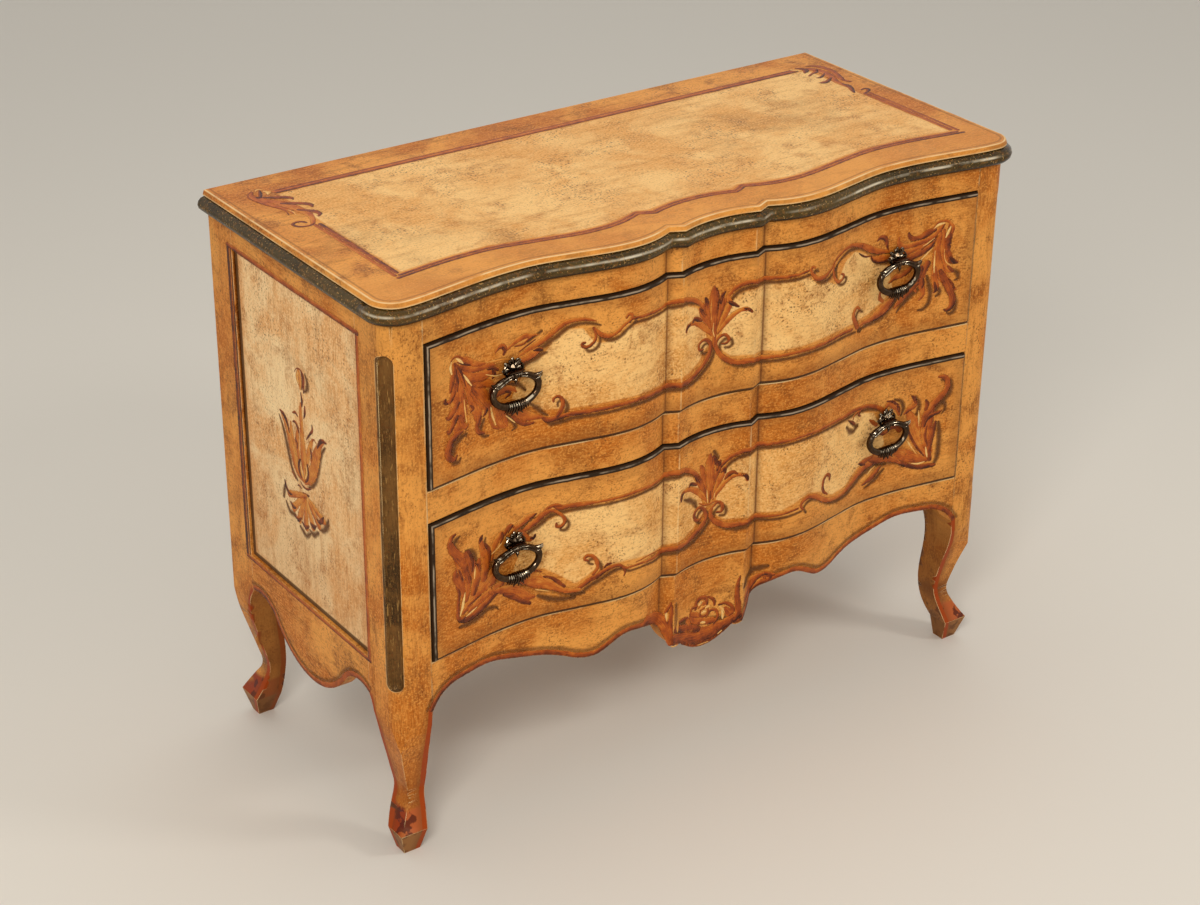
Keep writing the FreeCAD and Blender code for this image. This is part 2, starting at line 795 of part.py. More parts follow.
def shell_plate(y):
    """Scalloped fan of lobes above the pivot, with a point below it, seen from the front."""
    lobe_turn = math.pi / shell_lobes
    corners = [(lobe + share, shell_notch if share == 0 else 1.0)
               for lobe in range(shell_lobes) for share in lobe_corners]
    corners.append((shell_lobes, shell_notch))
    points = [V(shell_half_width * reach * math.cos(place * lobe_turn), y,
                shell_height * reach * math.sin(place * lobe_turn)) for place, reach in corners]
    waist_x = points[0].x * shell_waist
    points += [V(-waist_x, y, -shell_drop * shell_waist), V(0, y, -shell_drop),
               V(waist_x, y, -shell_drop * shell_waist)]
    return polygon(points).extrude(V(0, shell_thickness, 0))


def pull_post(seat_y):
    """Shell plate with a stem, an eye for the bail and its bolt; the pivot is at the origin.

    The plate's back stands at hinge_height, just clear of the drawer's face at seat_y.
    """
    plate = shell_plate(hinge_height - shell_thickness)
    stem = box(-stem_half_width, stem_half_width, 0, hinge_height, -stem_half_width, stem_half_width)
    bolt_length = hinge_height + seat_gap + drawer_front_back_y - seat_y + bolt_end
    bolt = Part.makeCylinder(bolt_radius, bolt_length, V(0, 0, 0), V(0, 1, 0))
    eye = rod(V(-eye_half_length, 0, 0), V(2 * eye_half_length, 0, 0), eye_radius, eye_radius)
    hole = Part.makeCylinder(pivot_radius + pivot_gap, 4 * eye_half_length,
                             V(-2 * eye_half_length, 0, 0), V(1, 0, 0))
    return one(plate.fuse([stem, bolt, eye]).cut(hole))


def nut():
    """Hand-filed square nut on the inside of a drawer front."""
    half = nut_across / 2
    body = box(-half, half, 0, nut_thickness, -half, half)
    bore = Part.makeCylinder(bolt_radius + thread_gap, nut_thickness, V(0, 0, 0), V(0, 1, 0))
    return body.cut(bore)


def placed(shape, x, y, z):
    copy = shape.copy()
    copy.translate(V(x, y, z))
    return copy


# ---------------------------------------------------------------- the whole chest

def case_parts():
    parts = {"top_board": top_board()}
    parts.update(moulding_strips())
    parts["rail_front_top"] = front_rail(upper_opening_top, case_top)
    parts["rail_front_middle"] = front_rail(lower_opening_top, upper_opening_bottom)
    parts["apron_front"] = front_apron()
    parts["rail_back_top"] = back_rail(case_top - back_top_rail_height, case_top)
    parts["rail_back_bottom"] = back_rail(back_panel_bottom, back_panel_bottom + back_bottom_rail_height)
    parts["panel_back"] = back_panel()
    entering = list(parts.values())
    right = {
        "rail_side_top": side_top_rail(),
        "apron_side": side_apron(),
        "panel_side": side_panel(),
    }
    entering += list(right.values())
    right["post_front"] = one(front_post().cut(entering))
    right["post_back"] = one(back_post().cut(entering))
    fixed = [right["post_front"], right["post_back"], parts["apron_front"]]
    upper = runner(upper_opening_bottom, upper_runner_height, rail_back_y)
    lower = runner(lower_opening_bottom, lower_runner_height, corner_y + apron_thickness)
    right["runner_upper"] = one(upper.cut(fixed))
    right["runner_lower"] = one(lower.cut(fixed))
    right["guide_upper"] = guide(upper_opening_bottom)
    right["guide_lower"] = guide(lower_opening_bottom)
    right["kicker"] = kicker()
    for name, shape in right.items():
        parts[name + "_right"] = shape
        parts[name + "_left"] = mirrored(shape)
    stops = [stop(upper_opening_bottom), stop(lower_opening_bottom)]
    parts["drawer_stops"] = Part.makeCompound(stops + [mirrored(shape) for shape in stops])
    parts["glue_blocks"] = glue_blocks()
    return parts


def drawer_parts():
    parts = {}
    bail_shape = bail()
    seat_y = min(front_y_at(handle_x + side * shell_half_width, drawer_proud) for side in (-1, 1))
    hinge_y = seat_y - seat_gap - hinge_height
    post_shape = pull_post(seat_y)
    nut_shape = nut()
    for level, bottom_z, top_z, hinge_z in (
            ("upper", upper_opening_bottom, upper_opening_top, upper_hinge_z),
            ("lower", lower_opening_bottom, lower_opening_top, lower_hinge_z)):
        for name, shape in drawer(bottom_z, top_z, hinge_z).items():
            parts[level + "_drawer_" + name] = shape
        nuts = []
        for side, x in (("left", -handle_x), ("right", handle_x)):
            parts[level + "_bail_" + side] = placed(bail_shape, x, hinge_y, hinge_z)
            parts[level + "_pull_post_" + side] = placed(post_shape, x, hinge_y, hinge_z)
            nuts.append(placed(nut_shape, x, drawer_front_back_y, hinge_z))
        parts[level + "_drawer_nuts"] = Part.makeCompound(nuts)
    return parts


def main():
    os.makedirs("parts", exist_ok=True)
    parts = case_parts()
    parts.update(drawer_parts())
    for name, shape in parts.items():
        save(name, shape)


main()
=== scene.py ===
import bisect
import math

import bmesh
import bpy
from mathutils import Matrix, Vector


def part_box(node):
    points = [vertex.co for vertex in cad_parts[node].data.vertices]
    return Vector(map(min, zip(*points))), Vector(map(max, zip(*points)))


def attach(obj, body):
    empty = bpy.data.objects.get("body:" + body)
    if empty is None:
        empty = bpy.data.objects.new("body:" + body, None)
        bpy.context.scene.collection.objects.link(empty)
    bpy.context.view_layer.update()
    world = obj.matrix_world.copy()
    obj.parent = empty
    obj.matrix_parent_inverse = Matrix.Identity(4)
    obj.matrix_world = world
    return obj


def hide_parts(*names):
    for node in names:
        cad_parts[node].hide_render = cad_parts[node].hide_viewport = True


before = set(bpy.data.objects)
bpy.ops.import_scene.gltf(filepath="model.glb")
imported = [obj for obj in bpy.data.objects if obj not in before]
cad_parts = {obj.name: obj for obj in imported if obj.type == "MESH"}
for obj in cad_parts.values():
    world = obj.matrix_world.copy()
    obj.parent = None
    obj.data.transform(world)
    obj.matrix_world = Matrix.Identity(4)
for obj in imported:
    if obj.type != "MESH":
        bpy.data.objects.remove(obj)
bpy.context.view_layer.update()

# Painted chest with a stepped serpentine front. Sizes are in millimetres up to the moment at which
# a mesh is made; X runs to the right, the front faces -Y, Z is up.
MM = 0.001
IN_MM = (1000.0, 1000.0, 1000.0)

CREST_Y = -246.5
CASE_HALF_WIDTH = 561.0
CREST_X = 160.0
CENTRE_SETBACK = 19.9
STEP_FRONT = (67.4, 7.6)
STEP_BACK = (88.6, 18.0)
HOLLOW = (332.0, 26.4)
CORNER = (531.0, 3.8)
CORNER_Y = -212.7
CORNER_RADIUS = 30.0
CREST_INNER_RADIUS = 145.0
CREST_OUTER_RADIUS = 230.0
HOLLOW_INNER_RADIUS = 230.0
HOLLOW_OUTER_RADIUS = 520.0
SHOULDER_RADIUS = 240.0
DRAWER_PROUD = 5.0
PANEL_SETBACK = 5.0
TOP_Z = 900.0
POST_INNER_X = 502.0
POST_FRONT_BACK_Y = -160.7
POST_BACK_FRONT_Y = 194.0
DRAWER_HALF_WIDTH = 500.5
UPPER_ARRISES = [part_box(node)[1][2] / MM for node in ("rail_front_middle", "apron_front")]
HANDLE_X = 352.0
HINGE_Y = -236.846
HINGE_Z = {"upper": 740.0, "lower": 464.0}
DRAWER_FRONT_ENDS_Z = {"upper": (604.5, 826.5), "lower": (327.5, 551.5)}


# ---------------------------------------------------------------- the serpentine line

def wave(x0, setback0, radius0, x1, setback1, radius1):
    """Points along two arcs and their common tangent, from one level stretch to the next."""
    way = 1 if setback1 > setback0 else -1
    across = x1 - x0
    rise = abs(setback1 - setback0) - radius0 - radius1
    turn = math.atan2(rise, across) + math.asin((radius0 + radius1) / math.hypot(across, rise))
    turns = [turn * step / 16 for step in range(17)]
    leaving = [(x0 + radius0 * math.sin(a), setback0 + way * radius0 * (1 - math.cos(a)))
               for a in turns]
    arriving = [(x1 - radius1 * math.sin(a), setback1 - way * radius1 * (1 - math.cos(a)))
                for a in reversed(turns)]
    return leaving + arriving


def half_front_line():
    """(distance from the middle, setback behind the crest) from the middle to the corner."""
    sagitta = CENTRE_SETBACK - STEP_FRONT[1]
    radius = (STEP_FRONT[0] ** 2 + sagitta ** 2) / (2 * sagitta)
    points = [(x, CENTRE_SETBACK - radius + math.sqrt(radius ** 2 - x ** 2))
              for x in [STEP_FRONT[0] * step / 24 for step in range(25)]]
    points.append(STEP_BACK)
    away = CREST_X - STEP_BACK[0]
    drop = CREST_INNER_RADIUS - STEP_BACK[1]
    turn = math.asin(CREST_INNER_RADIUS / math.hypot(away, drop)) - math.atan2(drop, away)
    for step in range(16, 0, -1):
        angle = turn * step / 16
        points.append((CREST_X - CREST_INNER_RADIUS * math.sin(angle),
                       CREST_INNER_RADIUS * (1 - math.cos(angle))))
    points += wave(CREST_X, 0.0, CREST_OUTER_RADIUS, *HOLLOW, HOLLOW_INNER_RADIUS)
    points += wave(*HOLLOW, HOLLOW_OUTER_RADIUS, *CORNER, SHOULDER_RADIUS)[1:]
    return points


FRONT_LINE = half_front_line()
FRONT_XS = [point[0] for point in FRONT_LINE]


def setback(x):
    """How far the front lies behind its crest at a distance from the middle."""
    x = min(abs(x), FRONT_XS[-1])
    after = min(max(bisect.bisect_left(FRONT_XS, x), 1), len(FRONT_XS) - 1)
    (xa, sa), (xb, sb) = FRONT_LINE[after - 1], FRONT_LINE[after]
    return sa if xb == xa else sa + (sb - sa) * (x - xa) / (xb - xa)


# ---------------------------------------------------------------- modelling helpers

def deselect():
    if bpy.context.object and bpy.context.object.mode != "OBJECT":
        bpy.ops.object.mode_set(mode="OBJECT")
    bpy.ops.object.select_all(action="DESELECT")


def choose(obj):
    deselect()
    obj.select_set(True)
    bpy.context.view_layer.objects.active = obj


def linked(name, data):
    """A new object in the scene."""
    obj = bpy.data.objects.new(name, data)
    bpy.context.scene.collection.objects.link(obj)
    return obj


def apply_modifier(obj, kind, **settings):
    choose(obj)
    modifier = obj.modifiers.new(kind.lower(), kind)
    for name, value in settings.items():
        setattr(modifier, name, value)
    bpy.ops.object.modifier_apply(modifier=modifier.name)


def smooth_by_angle(obj, degrees):
    choose(obj)
    bpy.ops.object.shade_smooth_by_angle(angle=math.radians(degrees))


def merge_doubles(obj, distance):
    """Merges a mesh's doubles and stays in edit mode, with all of it selected."""
    choose(obj)
    bpy.ops.object.mode_set(mode="EDIT")
    bpy.ops.mesh.select_all(action="SELECT")
    bpy.ops.mesh.remove_doubles(threshold=distance * MM)


def finished_copy(node, body, smooth_angle, bevel=0.0):
    """A merged copy of a CAD node with soft arrises, which stands for the node."""
    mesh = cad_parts[node].data.copy()
    mesh.materials.clear()
    obj = linked(node + "_finished", mesh)
    merge_doubles(obj, 0.02)
    bpy.ops.mesh.dissolve_limited(angle_limit=math.radians(0.2))
    bpy.ops.object.mode_set(mode="OBJECT")
    if bevel:
        apply_modifier(obj, "BEVEL", width=bevel * MM, segments=2, limit_method="ANGLE",
                       angle_limit=math.radians(25), use_clamp_overlap=False)
    smooth_by_angle(obj, smooth_angle)
    apply_modifier(obj, "WEIGHTED_NORMAL", keep_sharp=True, weight=80)
    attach(obj, body)
    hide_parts(node)
    return obj


def dress(obj, material, slot=None):
    obj.data.materials.clear()
    obj.data.materials.append(material)


# ---------------------------------------------------------------- shader helpers

class Tree:
    """Adds nodes to a shader tree; inputs take numbers, colours or the output of another node."""

    def __init__(self, tree):
        self.tree = tree

    def feed(self, node, inputs):
        for name, value in inputs.items():
            if isinstance(value, bpy.types.NodeSocket):
                self.tree.links.new(value, node.inputs[name])
            else:
                node.inputs[name].default_value = value

    def add(self, kind, inputs=None, **settings):
        made = self.tree.nodes.new(kind)
        for name, value in settings.items():
            setattr(made, name, value)
        self.feed(made, inputs or {})
        return made

    def group(self, node_tree, inputs=None):
        return self.add("ShaderNodeGroup", inputs, node_tree=node_tree).outputs

    def math(self, operation, a, b=0.0, c=0.0):
        return self.add("ShaderNodeMath", {0: a, 1: b, 2: c}, operation=operation).outputs[0]

    def chain(self, operation, first, *others):
        for other in others:
            first = self.math(operation, first, other)
        return first

    def times(self, *values):
        return self.chain("MULTIPLY", *values)

    def plus(self, *values):
        return self.chain("ADD", *values)

    def most(self, *values):
        return self.chain("MAXIMUM", *values)

    def least(self, *values):
        return self.chain("MINIMUM", *values)

    def minus(self, a, b):
        return self.math("SUBTRACT", a, b)

    def size(self, value):
        return self.math("ABSOLUTE", value)

    def length(self, *sides):
        return self.math("SQRT", self.plus(*[self.times(side, side) for side in sides]))

    def sloped(self, value, slope, start):
        return self.math("MULTIPLY_ADD", value, slope, start)

    def place(self):
        return self.add("ShaderNodeTexCoord").outputs["Object"]

    def normal(self):
        return self.add("ShaderNodeTexCoord").outputs["Normal"]

    def stretched(self, vector, shares):
        return self.add("ShaderNodeVectorMath", {0: vector, 1: shares},
                        operation="MULTIPLY").outputs[0]

    def dot(self, a, b):
        return self.add("ShaderNodeVectorMath", {0: a, 1: b},
                        operation="DOT_PRODUCT").outputs["Value"]

    def parts(self, vector):
        return self.add("ShaderNodeSeparateXYZ", {0: vector}).outputs

    def ramp(self, value, low, high):
        """0 below low, 1 above high, smooth between; low may be the larger."""
        made = self.add("ShaderNodeMapRange", {"Value": value, "From Min": low, "From Max": high},
                        interpolation_type="SMOOTHSTEP")
        return made.outputs["Result"]

    def spread(self, value, low, high, ends):
        """The values between low and high, spread evenly between two ends."""
        made = self.add("ShaderNodeMapRange", {"Value": value, "From Min": low, "From Max": high,
                                               "To Min": ends[0], "To Max": ends[1]})
        return made.outputs["Result"]

    def noise(self, vector, scale, detail=3.0, roughness=0.5, distortion=0.0):
        made = self.add("ShaderNodeTexNoise", {"Vector": vector, "Scale": scale, "Detail": detail,
                                               "Roughness": roughness, "Distortion": distortion})
        return made.outputs["Fac"]

    def bump(self, strength, distance, height, **more):
        made = self.add("ShaderNodeBump", {"Strength": strength, "Distance": distance * MM,
                                           "Height": height, **more})
        return made.outputs["Normal"]

    def over(self, under, layer, *masks):
        """One colour laid over another, as far as all the masks let it."""
        made = self.add("ShaderNodeMix", {"Factor": self.times(*masks), 6: under, 7: layer},
                        data_type="RGBA")
        return made.outputs[2]

    def curve(self, value, x_range, y_range, points):
        """A line through points, as a function of a value; both ranges are stretched to 0..1."""
        span_x = x_range[1] - x_range[0]
        span_y = y_range[1] - y_range[0]
        scaled = self.math("DIVIDE", self.minus(value, x_range[0]), span_x)
        made = self.add("ShaderNodeFloatCurve", {"Factor": 1.0, "Value": scaled})
        line = made.mapping.curves[0]
        for number, (x, y) in enumerate(sorted(points)):
            place = ((x - x_range[0]) / span_x, (y - y_range[0]) / span_y)
            if number < 2:
                line.points[number].location = place
            else:
                line.points.new(*place)
        for point in line.points:
            point.handle_type = "VECTOR"
        made.mapping.update()
        return self.sloped(made.outputs[0], span_y, y_range[0])


def colour(red, green, blue):
    """A colour given as it looks on a screen, 0 to 255, as the linear one that a shader takes."""
    linear = [((v / 255 + 0.055) / 1.055) ** 2.4 if v > 10 else v / 255 / 12.92
              for v in (red, green, blue)]
    return (*linear, 1.0)


def new_material(name):
    material = bpy.data.materials.new(name)
    material.use_nodes = True
    return material, Tree(material.node_tree), material.node_tree.nodes["Principled BSDF"]


def new_group(name, inputs, outputs):
    group = bpy.data.node_groups.new(name, "ShaderNodeTree")
    kinds = {"value": "NodeSocketFloat", "colour": "NodeSocketColor", "vector": "NodeSocketVector"}
    for sockets, way in ((inputs, "INPUT"), (outputs, "OUTPUT")):
        for socket, kind in sockets:
            group.interface.new_socket(socket, in_out=way, socket_type=kinds[kind])
    tree = Tree(group)
    return group, tree, tree.add("NodeGroupInput").outputs, tree.add("NodeGroupOutput")


def aged_paint_group():
    """Thin old paint over wood: clouds, dirt, grain, flecks and fine cracks."""
    group, t, given, result = new_group(
        "aged paint",
        [("Ground", "colour"), ("Pale", "colour"), ("Deep", "colour"), ("Stretch", "vector"),
         ("Specks", "value")],
        [("Color", "colour"), ("Height", "value")])
    pale, deep = given["Pale"], given["Deep"]
    place = t.place()
    along = t.stretched(place, given["Stretch"])
    patches = t.noise(place, 7.0, 6, 0.62, 0.5)
    cloud = t.noise(place, 26.0, 6, 0.66, 0.4)
    streaks = t.noise(along, 1.0, 6, 0.62, 0.5)
    grain = t.noise(along, 8.5, 4, 0.62, 0.3)
    dirt = t.noise(place, 3.2, 6, 0.68, 0.8)
    painted = t.over(given["Ground"], pale, t.ramp(patches, 0.38, 0.60))
    painted = t.over(painted, deep, t.ramp(cloud, 0.50, 0.68), 0.66)
    painted = t.over(painted, deep, t.ramp(streaks, 0.50, 0.72), 0.58)
    painted = t.over(painted, pale, t.ramp(grain, 0.54, 0.36), 0.46)
    painted = t.over(painted, deep, t.ramp(grain, 0.53, 0.68), 0.40)
    painted = t.over(painted, colour(112, 70, 26), t.ramp(dirt, 0.52, 0.74), 0.4)
    clusters = t.ramp(t.noise(place, 13.0, 5, 0.66), 0.47, 0.62)
    cells = t.add("ShaderNodeTexVoronoi", {"Vector": place, "Scale": 190.0}).outputs
    chance, roll, _ = t.parts(cells["Color"])
    dots = t.ramp(t.minus(cells["Distance"], t.sloped(roll, 0.22, 0.12)), 0.08, -0.04)
    specks = t.times(dots, t.ramp(chance, 0.50, 0.60), clusters, given["Specks"])
    painted = t.over(painted, colour(96, 58, 24), specks, 0.85)
    pin = t.noise(place, 300.0, 3, 0.6)
    painted = t.over(painted, colour(112, 64, 24), t.ramp(pin, 0.55, 0.66),
                     t.sloped(clusters, 0.45, 0.36))
    painted = t.over(painted, pale, t.ramp(pin, 0.46, 0.36), 0.62)
    shake = t.add("ShaderNodeTexNoise", {"Vector": place, "Scale": 60.0}).outputs["Color"]
    shaken = t.add("ShaderNodeVectorMath", {0: along, 1: t.stretched(shake, (0.6, 0.6, 0.6))})
    cracks = t.add("ShaderNodeTexVoronoi", {"Vector": shaken.outputs[0], "Scale": 2.6},
                   feature="DISTANCE_TO_EDGE").outputs["Distance"]
    painted = t.over(painted, deep, t.ramp(cracks, 0.04, 0.01),
                     t.ramp(t.noise(place, 11.0, 3), 0.50, 0.66), 0.40)
    height = t.minus(t.plus(t.times(streaks, 0.4), t.times(grain, 0.6)), t.times(specks, 0.5))
    t.feed(result, {"Color": painted, "Height": height})
    return group


def outline_group():
    """How far a point lies outside the line of the case, in millimetres, seen from above."""
    group, t, _, result = new_group("distance from the case line", [], [("Ahead", "value")])
    x, y, _ = t.parts(t.stretched(t.place(), IN_MM))
    away = t.size(x)
    line = t.curve(away, (0.0, 540.0), (-2.0, 30.0),
                   [(v, setback(v)) for v in range(0, 541, 9)] + [STEP_FRONT, STEP_BACK])
    front = t.minus(t.plus(line, CREST_Y), y)
    straight = t.most(front, t.minus(away, CASE_HALF_WIDTH))
    out = t.minus(away, CORNER[0])
    fore = t.minus(CORNER_Y, y)
    rounded = t.minus(t.length(out, fore), CORNER_RADIUS)
    at_corner = t.times(t.math("GREATER_THAN", out, 0.0), t.math("GREATER_THAN", fore, 0.0))
    t.feed(result, {"Ahead": t.plus(t.times(at_corner, rounded),
                                    t.times(t.minus(1.0, at_corner), straight))})
    return group


def worn_edge_group():
    """Paint rubbed off along the arrises, in broken lengths, with the rounding of the arris."""
    group, t, given, result = new_group(
        "worn edges",
        [("Color", "colour"), ("Bare", "colour"), ("Reach", "value"), ("Amount", "value")],
        [("Color", "colour"), ("Mask", "value"), ("Normal", "vector")])
    softened = t.add("ShaderNodeBevel", {"Radius": given["Reach"]}, samples=6).outputs[0]
    edge = t.minus(1.0, t.dot(softened, t.add("ShaderNodeNewGeometry").outputs["Normal"]))
    broken = t.plus(t.sloped(t.noise(t.place(), 38.0, 4, 0.62), 1.3, -0.36), given["Amount"])
    mask = t.times(t.ramp(edge, 0.03, 0.16), t.ramp(broken, 0.42, 0.62))
    t.feed(result, {"Color": t.over(given["Color"], given["Bare"], mask), "Mask": mask,
                    "Normal": softened})
    return group


aged_paint = aged_paint_group()
worn_edges = worn_edge_group()
case_outline = outline_group()

OCHRE = colour(188, 104, 27)
OCHRE_PALE = colour(231, 158, 74)
OCHRE_DEEP = colour(132, 66, 14)
CREAM = colour(228, 162, 84)
CREAM_PALE = colour(250, 202, 130)
CREAM_DEEP = colour(168, 102, 42)
WORN_CREAM = colour(248, 216, 158)
LINE_RED = colour(158, 62, 10)
CREASE_SHADE = colour(96, 46, 14)
LEG_SHADE = colour(112, 58, 18)
DARK_GREEN = colour(46, 35, 15)
DARK_GREEN_PALE = colour(78, 62, 30)
DARK_GREEN_DEEP = colour(18, 14, 7)
FLUTE_BROWN = colour(56, 37, 14)
FLUTE_PALE = colour(120, 82, 38)
FLUTE_DEEP = colour(26, 18, 8)
SHADOW_DARK = colour(26, 18, 8)
LAMP_COLOUR = (1.0, 0.955, 0.885)

ALONG_X = (7.0, 60.0, 60.0)
ALONG_Y = (60.0, 7.0, 60.0)
ALONG_Z = (60.0, 60.0, 7.0)
ANY_WAY = (60.0, 60.0, 60.0)


class Paint:
    """One painted material: a tree that starts with old paint and ends in a worn, waxed surface."""

    def __init__(self, name, stretch, ground=OCHRE, pale=OCHRE_PALE, deep=OCHRE_DEEP, specks=0.5):
        self.material, self.t, self.shader = new_material(name)
        self.stretch = stretch
        self.place = self.t.stretched(self.t.place(), IN_MM)
        self.x, self.y, self.z = self.t.parts(self.place)
        self.away = self.t.size(self.x)
        self.colour, self.height = self.aged(ground, pale, deep, specks)

    def aged(self, ground, pale, deep, specks):
        return self.t.group(aged_paint, {"Ground": ground, "Pale": pale, "Deep": deep,
                                         "Stretch": self.stretch, "Specks": specks})

    def cloud(self, scale, detail=3.0, roughness=0.5):
        return self.t.noise(self.t.stretched(self.place, (MM, MM, MM)), scale, detail, roughness)

    def wobble(self, scale, size):
        """A noise centred on 0, in millimetres, for lines drawn by hand."""
        return self.t.times(self.t.minus(self.cloud(scale), 0.5), 2 * size)

    def broken(self, scale, low, high):
        """Patches of 1 with soft edges."""
        return self.t.ramp(self.wobble(scale, 1.0), low, high)

    def lay(self, paint, *masks):
        self.colour = self.t.over(self.colour, paint, *masks)

    def band(self, value, centre, half, soft=0.6):
        """1 within a distance of a coordinate."""
        return self.t.ramp(self.t.size(self.t.minus(value, centre)), half + soft, half - soft)

    def ahead(self):
        return self.t.group(case_outline)["Ahead"]

    def finish(self, reach=1.6, amount=0.12, roughness=(0.36, 0.56), specular=0.2):
        t = self.t
        worn = t.group(worn_edges, {"Color": self.colour, "Bare": WORN_CREAM,
                                    "Reach": reach * MM, "Amount": amount})
        t.feed(self.shader, {
            "Base Color": worn["Color"],
            "Roughness": t.spread(self.height, 0.2, 0.7, roughness),
            "Normal": t.bump(0.45, 0.6, self.height, Normal=worn["Normal"]),
            "Specular IOR Level": specular,
            "Specular Tint": (1.0, 0.86, 0.66, 1.0)})
        return self.material

    def step_lines(self):
        """Painted shade in the inner corner of the step and a rubbed line on its arris."""
        front = self.t.ramp(self.y, -205.0, -215.0)
        near = self.t.ramp(self.t.size(self.t.minus(self.away, STEP_BACK[0])), 11.0, 0.0)
        # Painted shade: darker brown in the inner corner of the step, soft and then as a line.
        self.lay(CREASE_SHADE, near, front, 0.42)
        self.lay(CREASE_SHADE, self.band(self.away, STEP_BACK[0] + 0.6, 1.2, 1.4), front, 0.78)
        self.lay(WORN_CREAM, self.band(self.away, STEP_FRONT[0], 1.1, 0.7), front,
                 self.broken(24.0, -0.12, 0.3), 0.42)


def frame_paint(name, stretch, steps=False):
    paint = Paint(name, stretch)
    if steps:
        paint.step_lines()
        broken = paint.broken(16.0, -0.3, 0.25)
        for height in UPPER_ARRISES:
            paint.lay(WORN_CREAM, paint.band(paint.z, height - 0.8, 0.9, 0.5), broken, 0.8)
    return paint.finish()


def drawer_paint(level, top_line, bottom_line):
    """Ochre border round a cream field whose edges follow the painted scrolls, with a dark lip above
    and on the left that carries a painted highlight, a dark line below and on the right that is the
    lip's paint with a painted shadow of the gap, and bare wood behind."""
    paint = Paint("painted " + level + " drawer", ALONG_X, specks=0.35)
    t = paint.t
    low, high = DRAWER_FRONT_ENDS_Z[level]
    top, bottom = (t.curve(paint.x, (-520.0, 520.0), (low, high), line)
                   for line in (top_line, bottom_line))
    shake = paint.wobble(22.0, 2.6)
    paint.lay(paint.aged(CREAM, CREAM_PALE, CREAM_DEEP, 1.0)[0],
              t.ramp(t.plus(t.minus(top, paint.z), shake), -2.0, 2.4),
              t.ramp(t.plus(t.minus(paint.z, bottom), shake), -2.0, 2.4))
    paint.step_lines()
    shake = paint.wobble(60.0, 0.8)
    from_left, from_right = t.plus(paint.x, DRAWER_HALF_WIDTH), t.minus(DRAWER_HALF_WIDTH, paint.x)
    dark_rim = t.plus(t.least(t.minus(high, paint.z), from_left), shake)
    # Below and on the right: the lip's dark paint with a painted shadow of the gap, as a dark line.
    gap_shade_rim = t.plus(t.least(t.minus(t.minus(paint.z, low), 3.2), from_right), shake)
    # Browner towards the rim on every side.
    paint.lay(colour(120, 66, 22), t.ramp(t.least(dark_rim, gap_shade_rim), 26.0, 6.0), 0.35)
    paint.lay(colour(54, 30, 14), t.ramp(gap_shade_rim, 2.4, 1.4), 0.9)
    paint.lay(colour(40, 26, 15), t.ramp(dark_rim, 7.2, 6.2))
    # Painted highlight along the rounding of the dark lip, broken in patches.
    paint.lay(colour(176, 156, 132), paint.band(dark_rim, 3.2, 0.9, 0.7),
              paint.broken(34.0, -0.3, 0.2), 0.8)
    bare = paint.aged(colour(186, 144, 94), colour(206, 166, 114), colour(132, 90, 50), 0.6)[0]
    paint.lay(bare, t.ramp(t.plus(paint.ahead(), shake), -3.0, -4.2))
    return paint.finish(amount=-0.2, reach=1.0)


def moulding_paint():
    """Dark green half-round with a painted highlight along its crown: a gold band all round and a
    bright broken line on the front.
    """
    paint = Paint("dark green moulding", ANY_WAY, DARK_GREEN, DARK_GREEN_PALE, DARK_GREEN_DEEP, 1.0)
    t = paint.t
    crown_z, foot_z = 882.0, 872.4
    # Painted highlight on the crown: a broad gold band, and a bright broken line on the front only.
    paint.lay(colour(132, 104, 60), paint.band(paint.z, crown_z, 2.4, 4.0),
              paint.broken(26.0, -0.1, 0.45), 0.4)
    line = paint.band(t.plus(paint.z, paint.wobble(14.0, 1.0)), crown_z + 1.2, 1.3, 1.3)
    paint.lay(colour(232, 220, 194), line, paint.broken(22.0, -0.3, 0.35),
              t.ramp(paint.y, -190.0, -225.0), 0.85)
    paint.lay(colour(128, 88, 38), paint.broken(150.0, 0.1, 0.3), 0.42)
    paint.lay(colour(206, 162, 96), paint.broken(320.0, 0.24, 0.34), 0.55)
    paint.lay(SHADOW_DARK, t.ramp(paint.z, foot_z + 2.2, foot_z))
    return paint.finish(reach=0.6, amount=-0.1, roughness=(0.15, 0.30), specular=0.22)


# ---------------------------------------------------------------- camera, light and floor

def camera():
    made = bpy.data.cameras.new("camera")
    made.lens = 74.53
    made.sensor_width = 36.0
    made.clip_end = 50.0
    obj = linked("camera", made)
    obj.location = (-2.052668, -2.837043, 2.231142)
    obj.rotation_euler = [math.radians(turn) for turn in (62.5827, -0.433, -35.1371)]
    bpy.context.scene.camera = obj


def area_light(name, place, target, size, power):
    made = bpy.data.lights.new(name, "AREA")
    made.shape = "RECTANGLE"
    made.size, made.size_y = size
    made.energy = power
    made.color = LAMP_COLOUR
    obj = linked(name, made)
    obj.location = place
    obj.rotation_euler = (Vector(target) - Vector(place)).to_track_quat("-Z", "Y").to_euler()


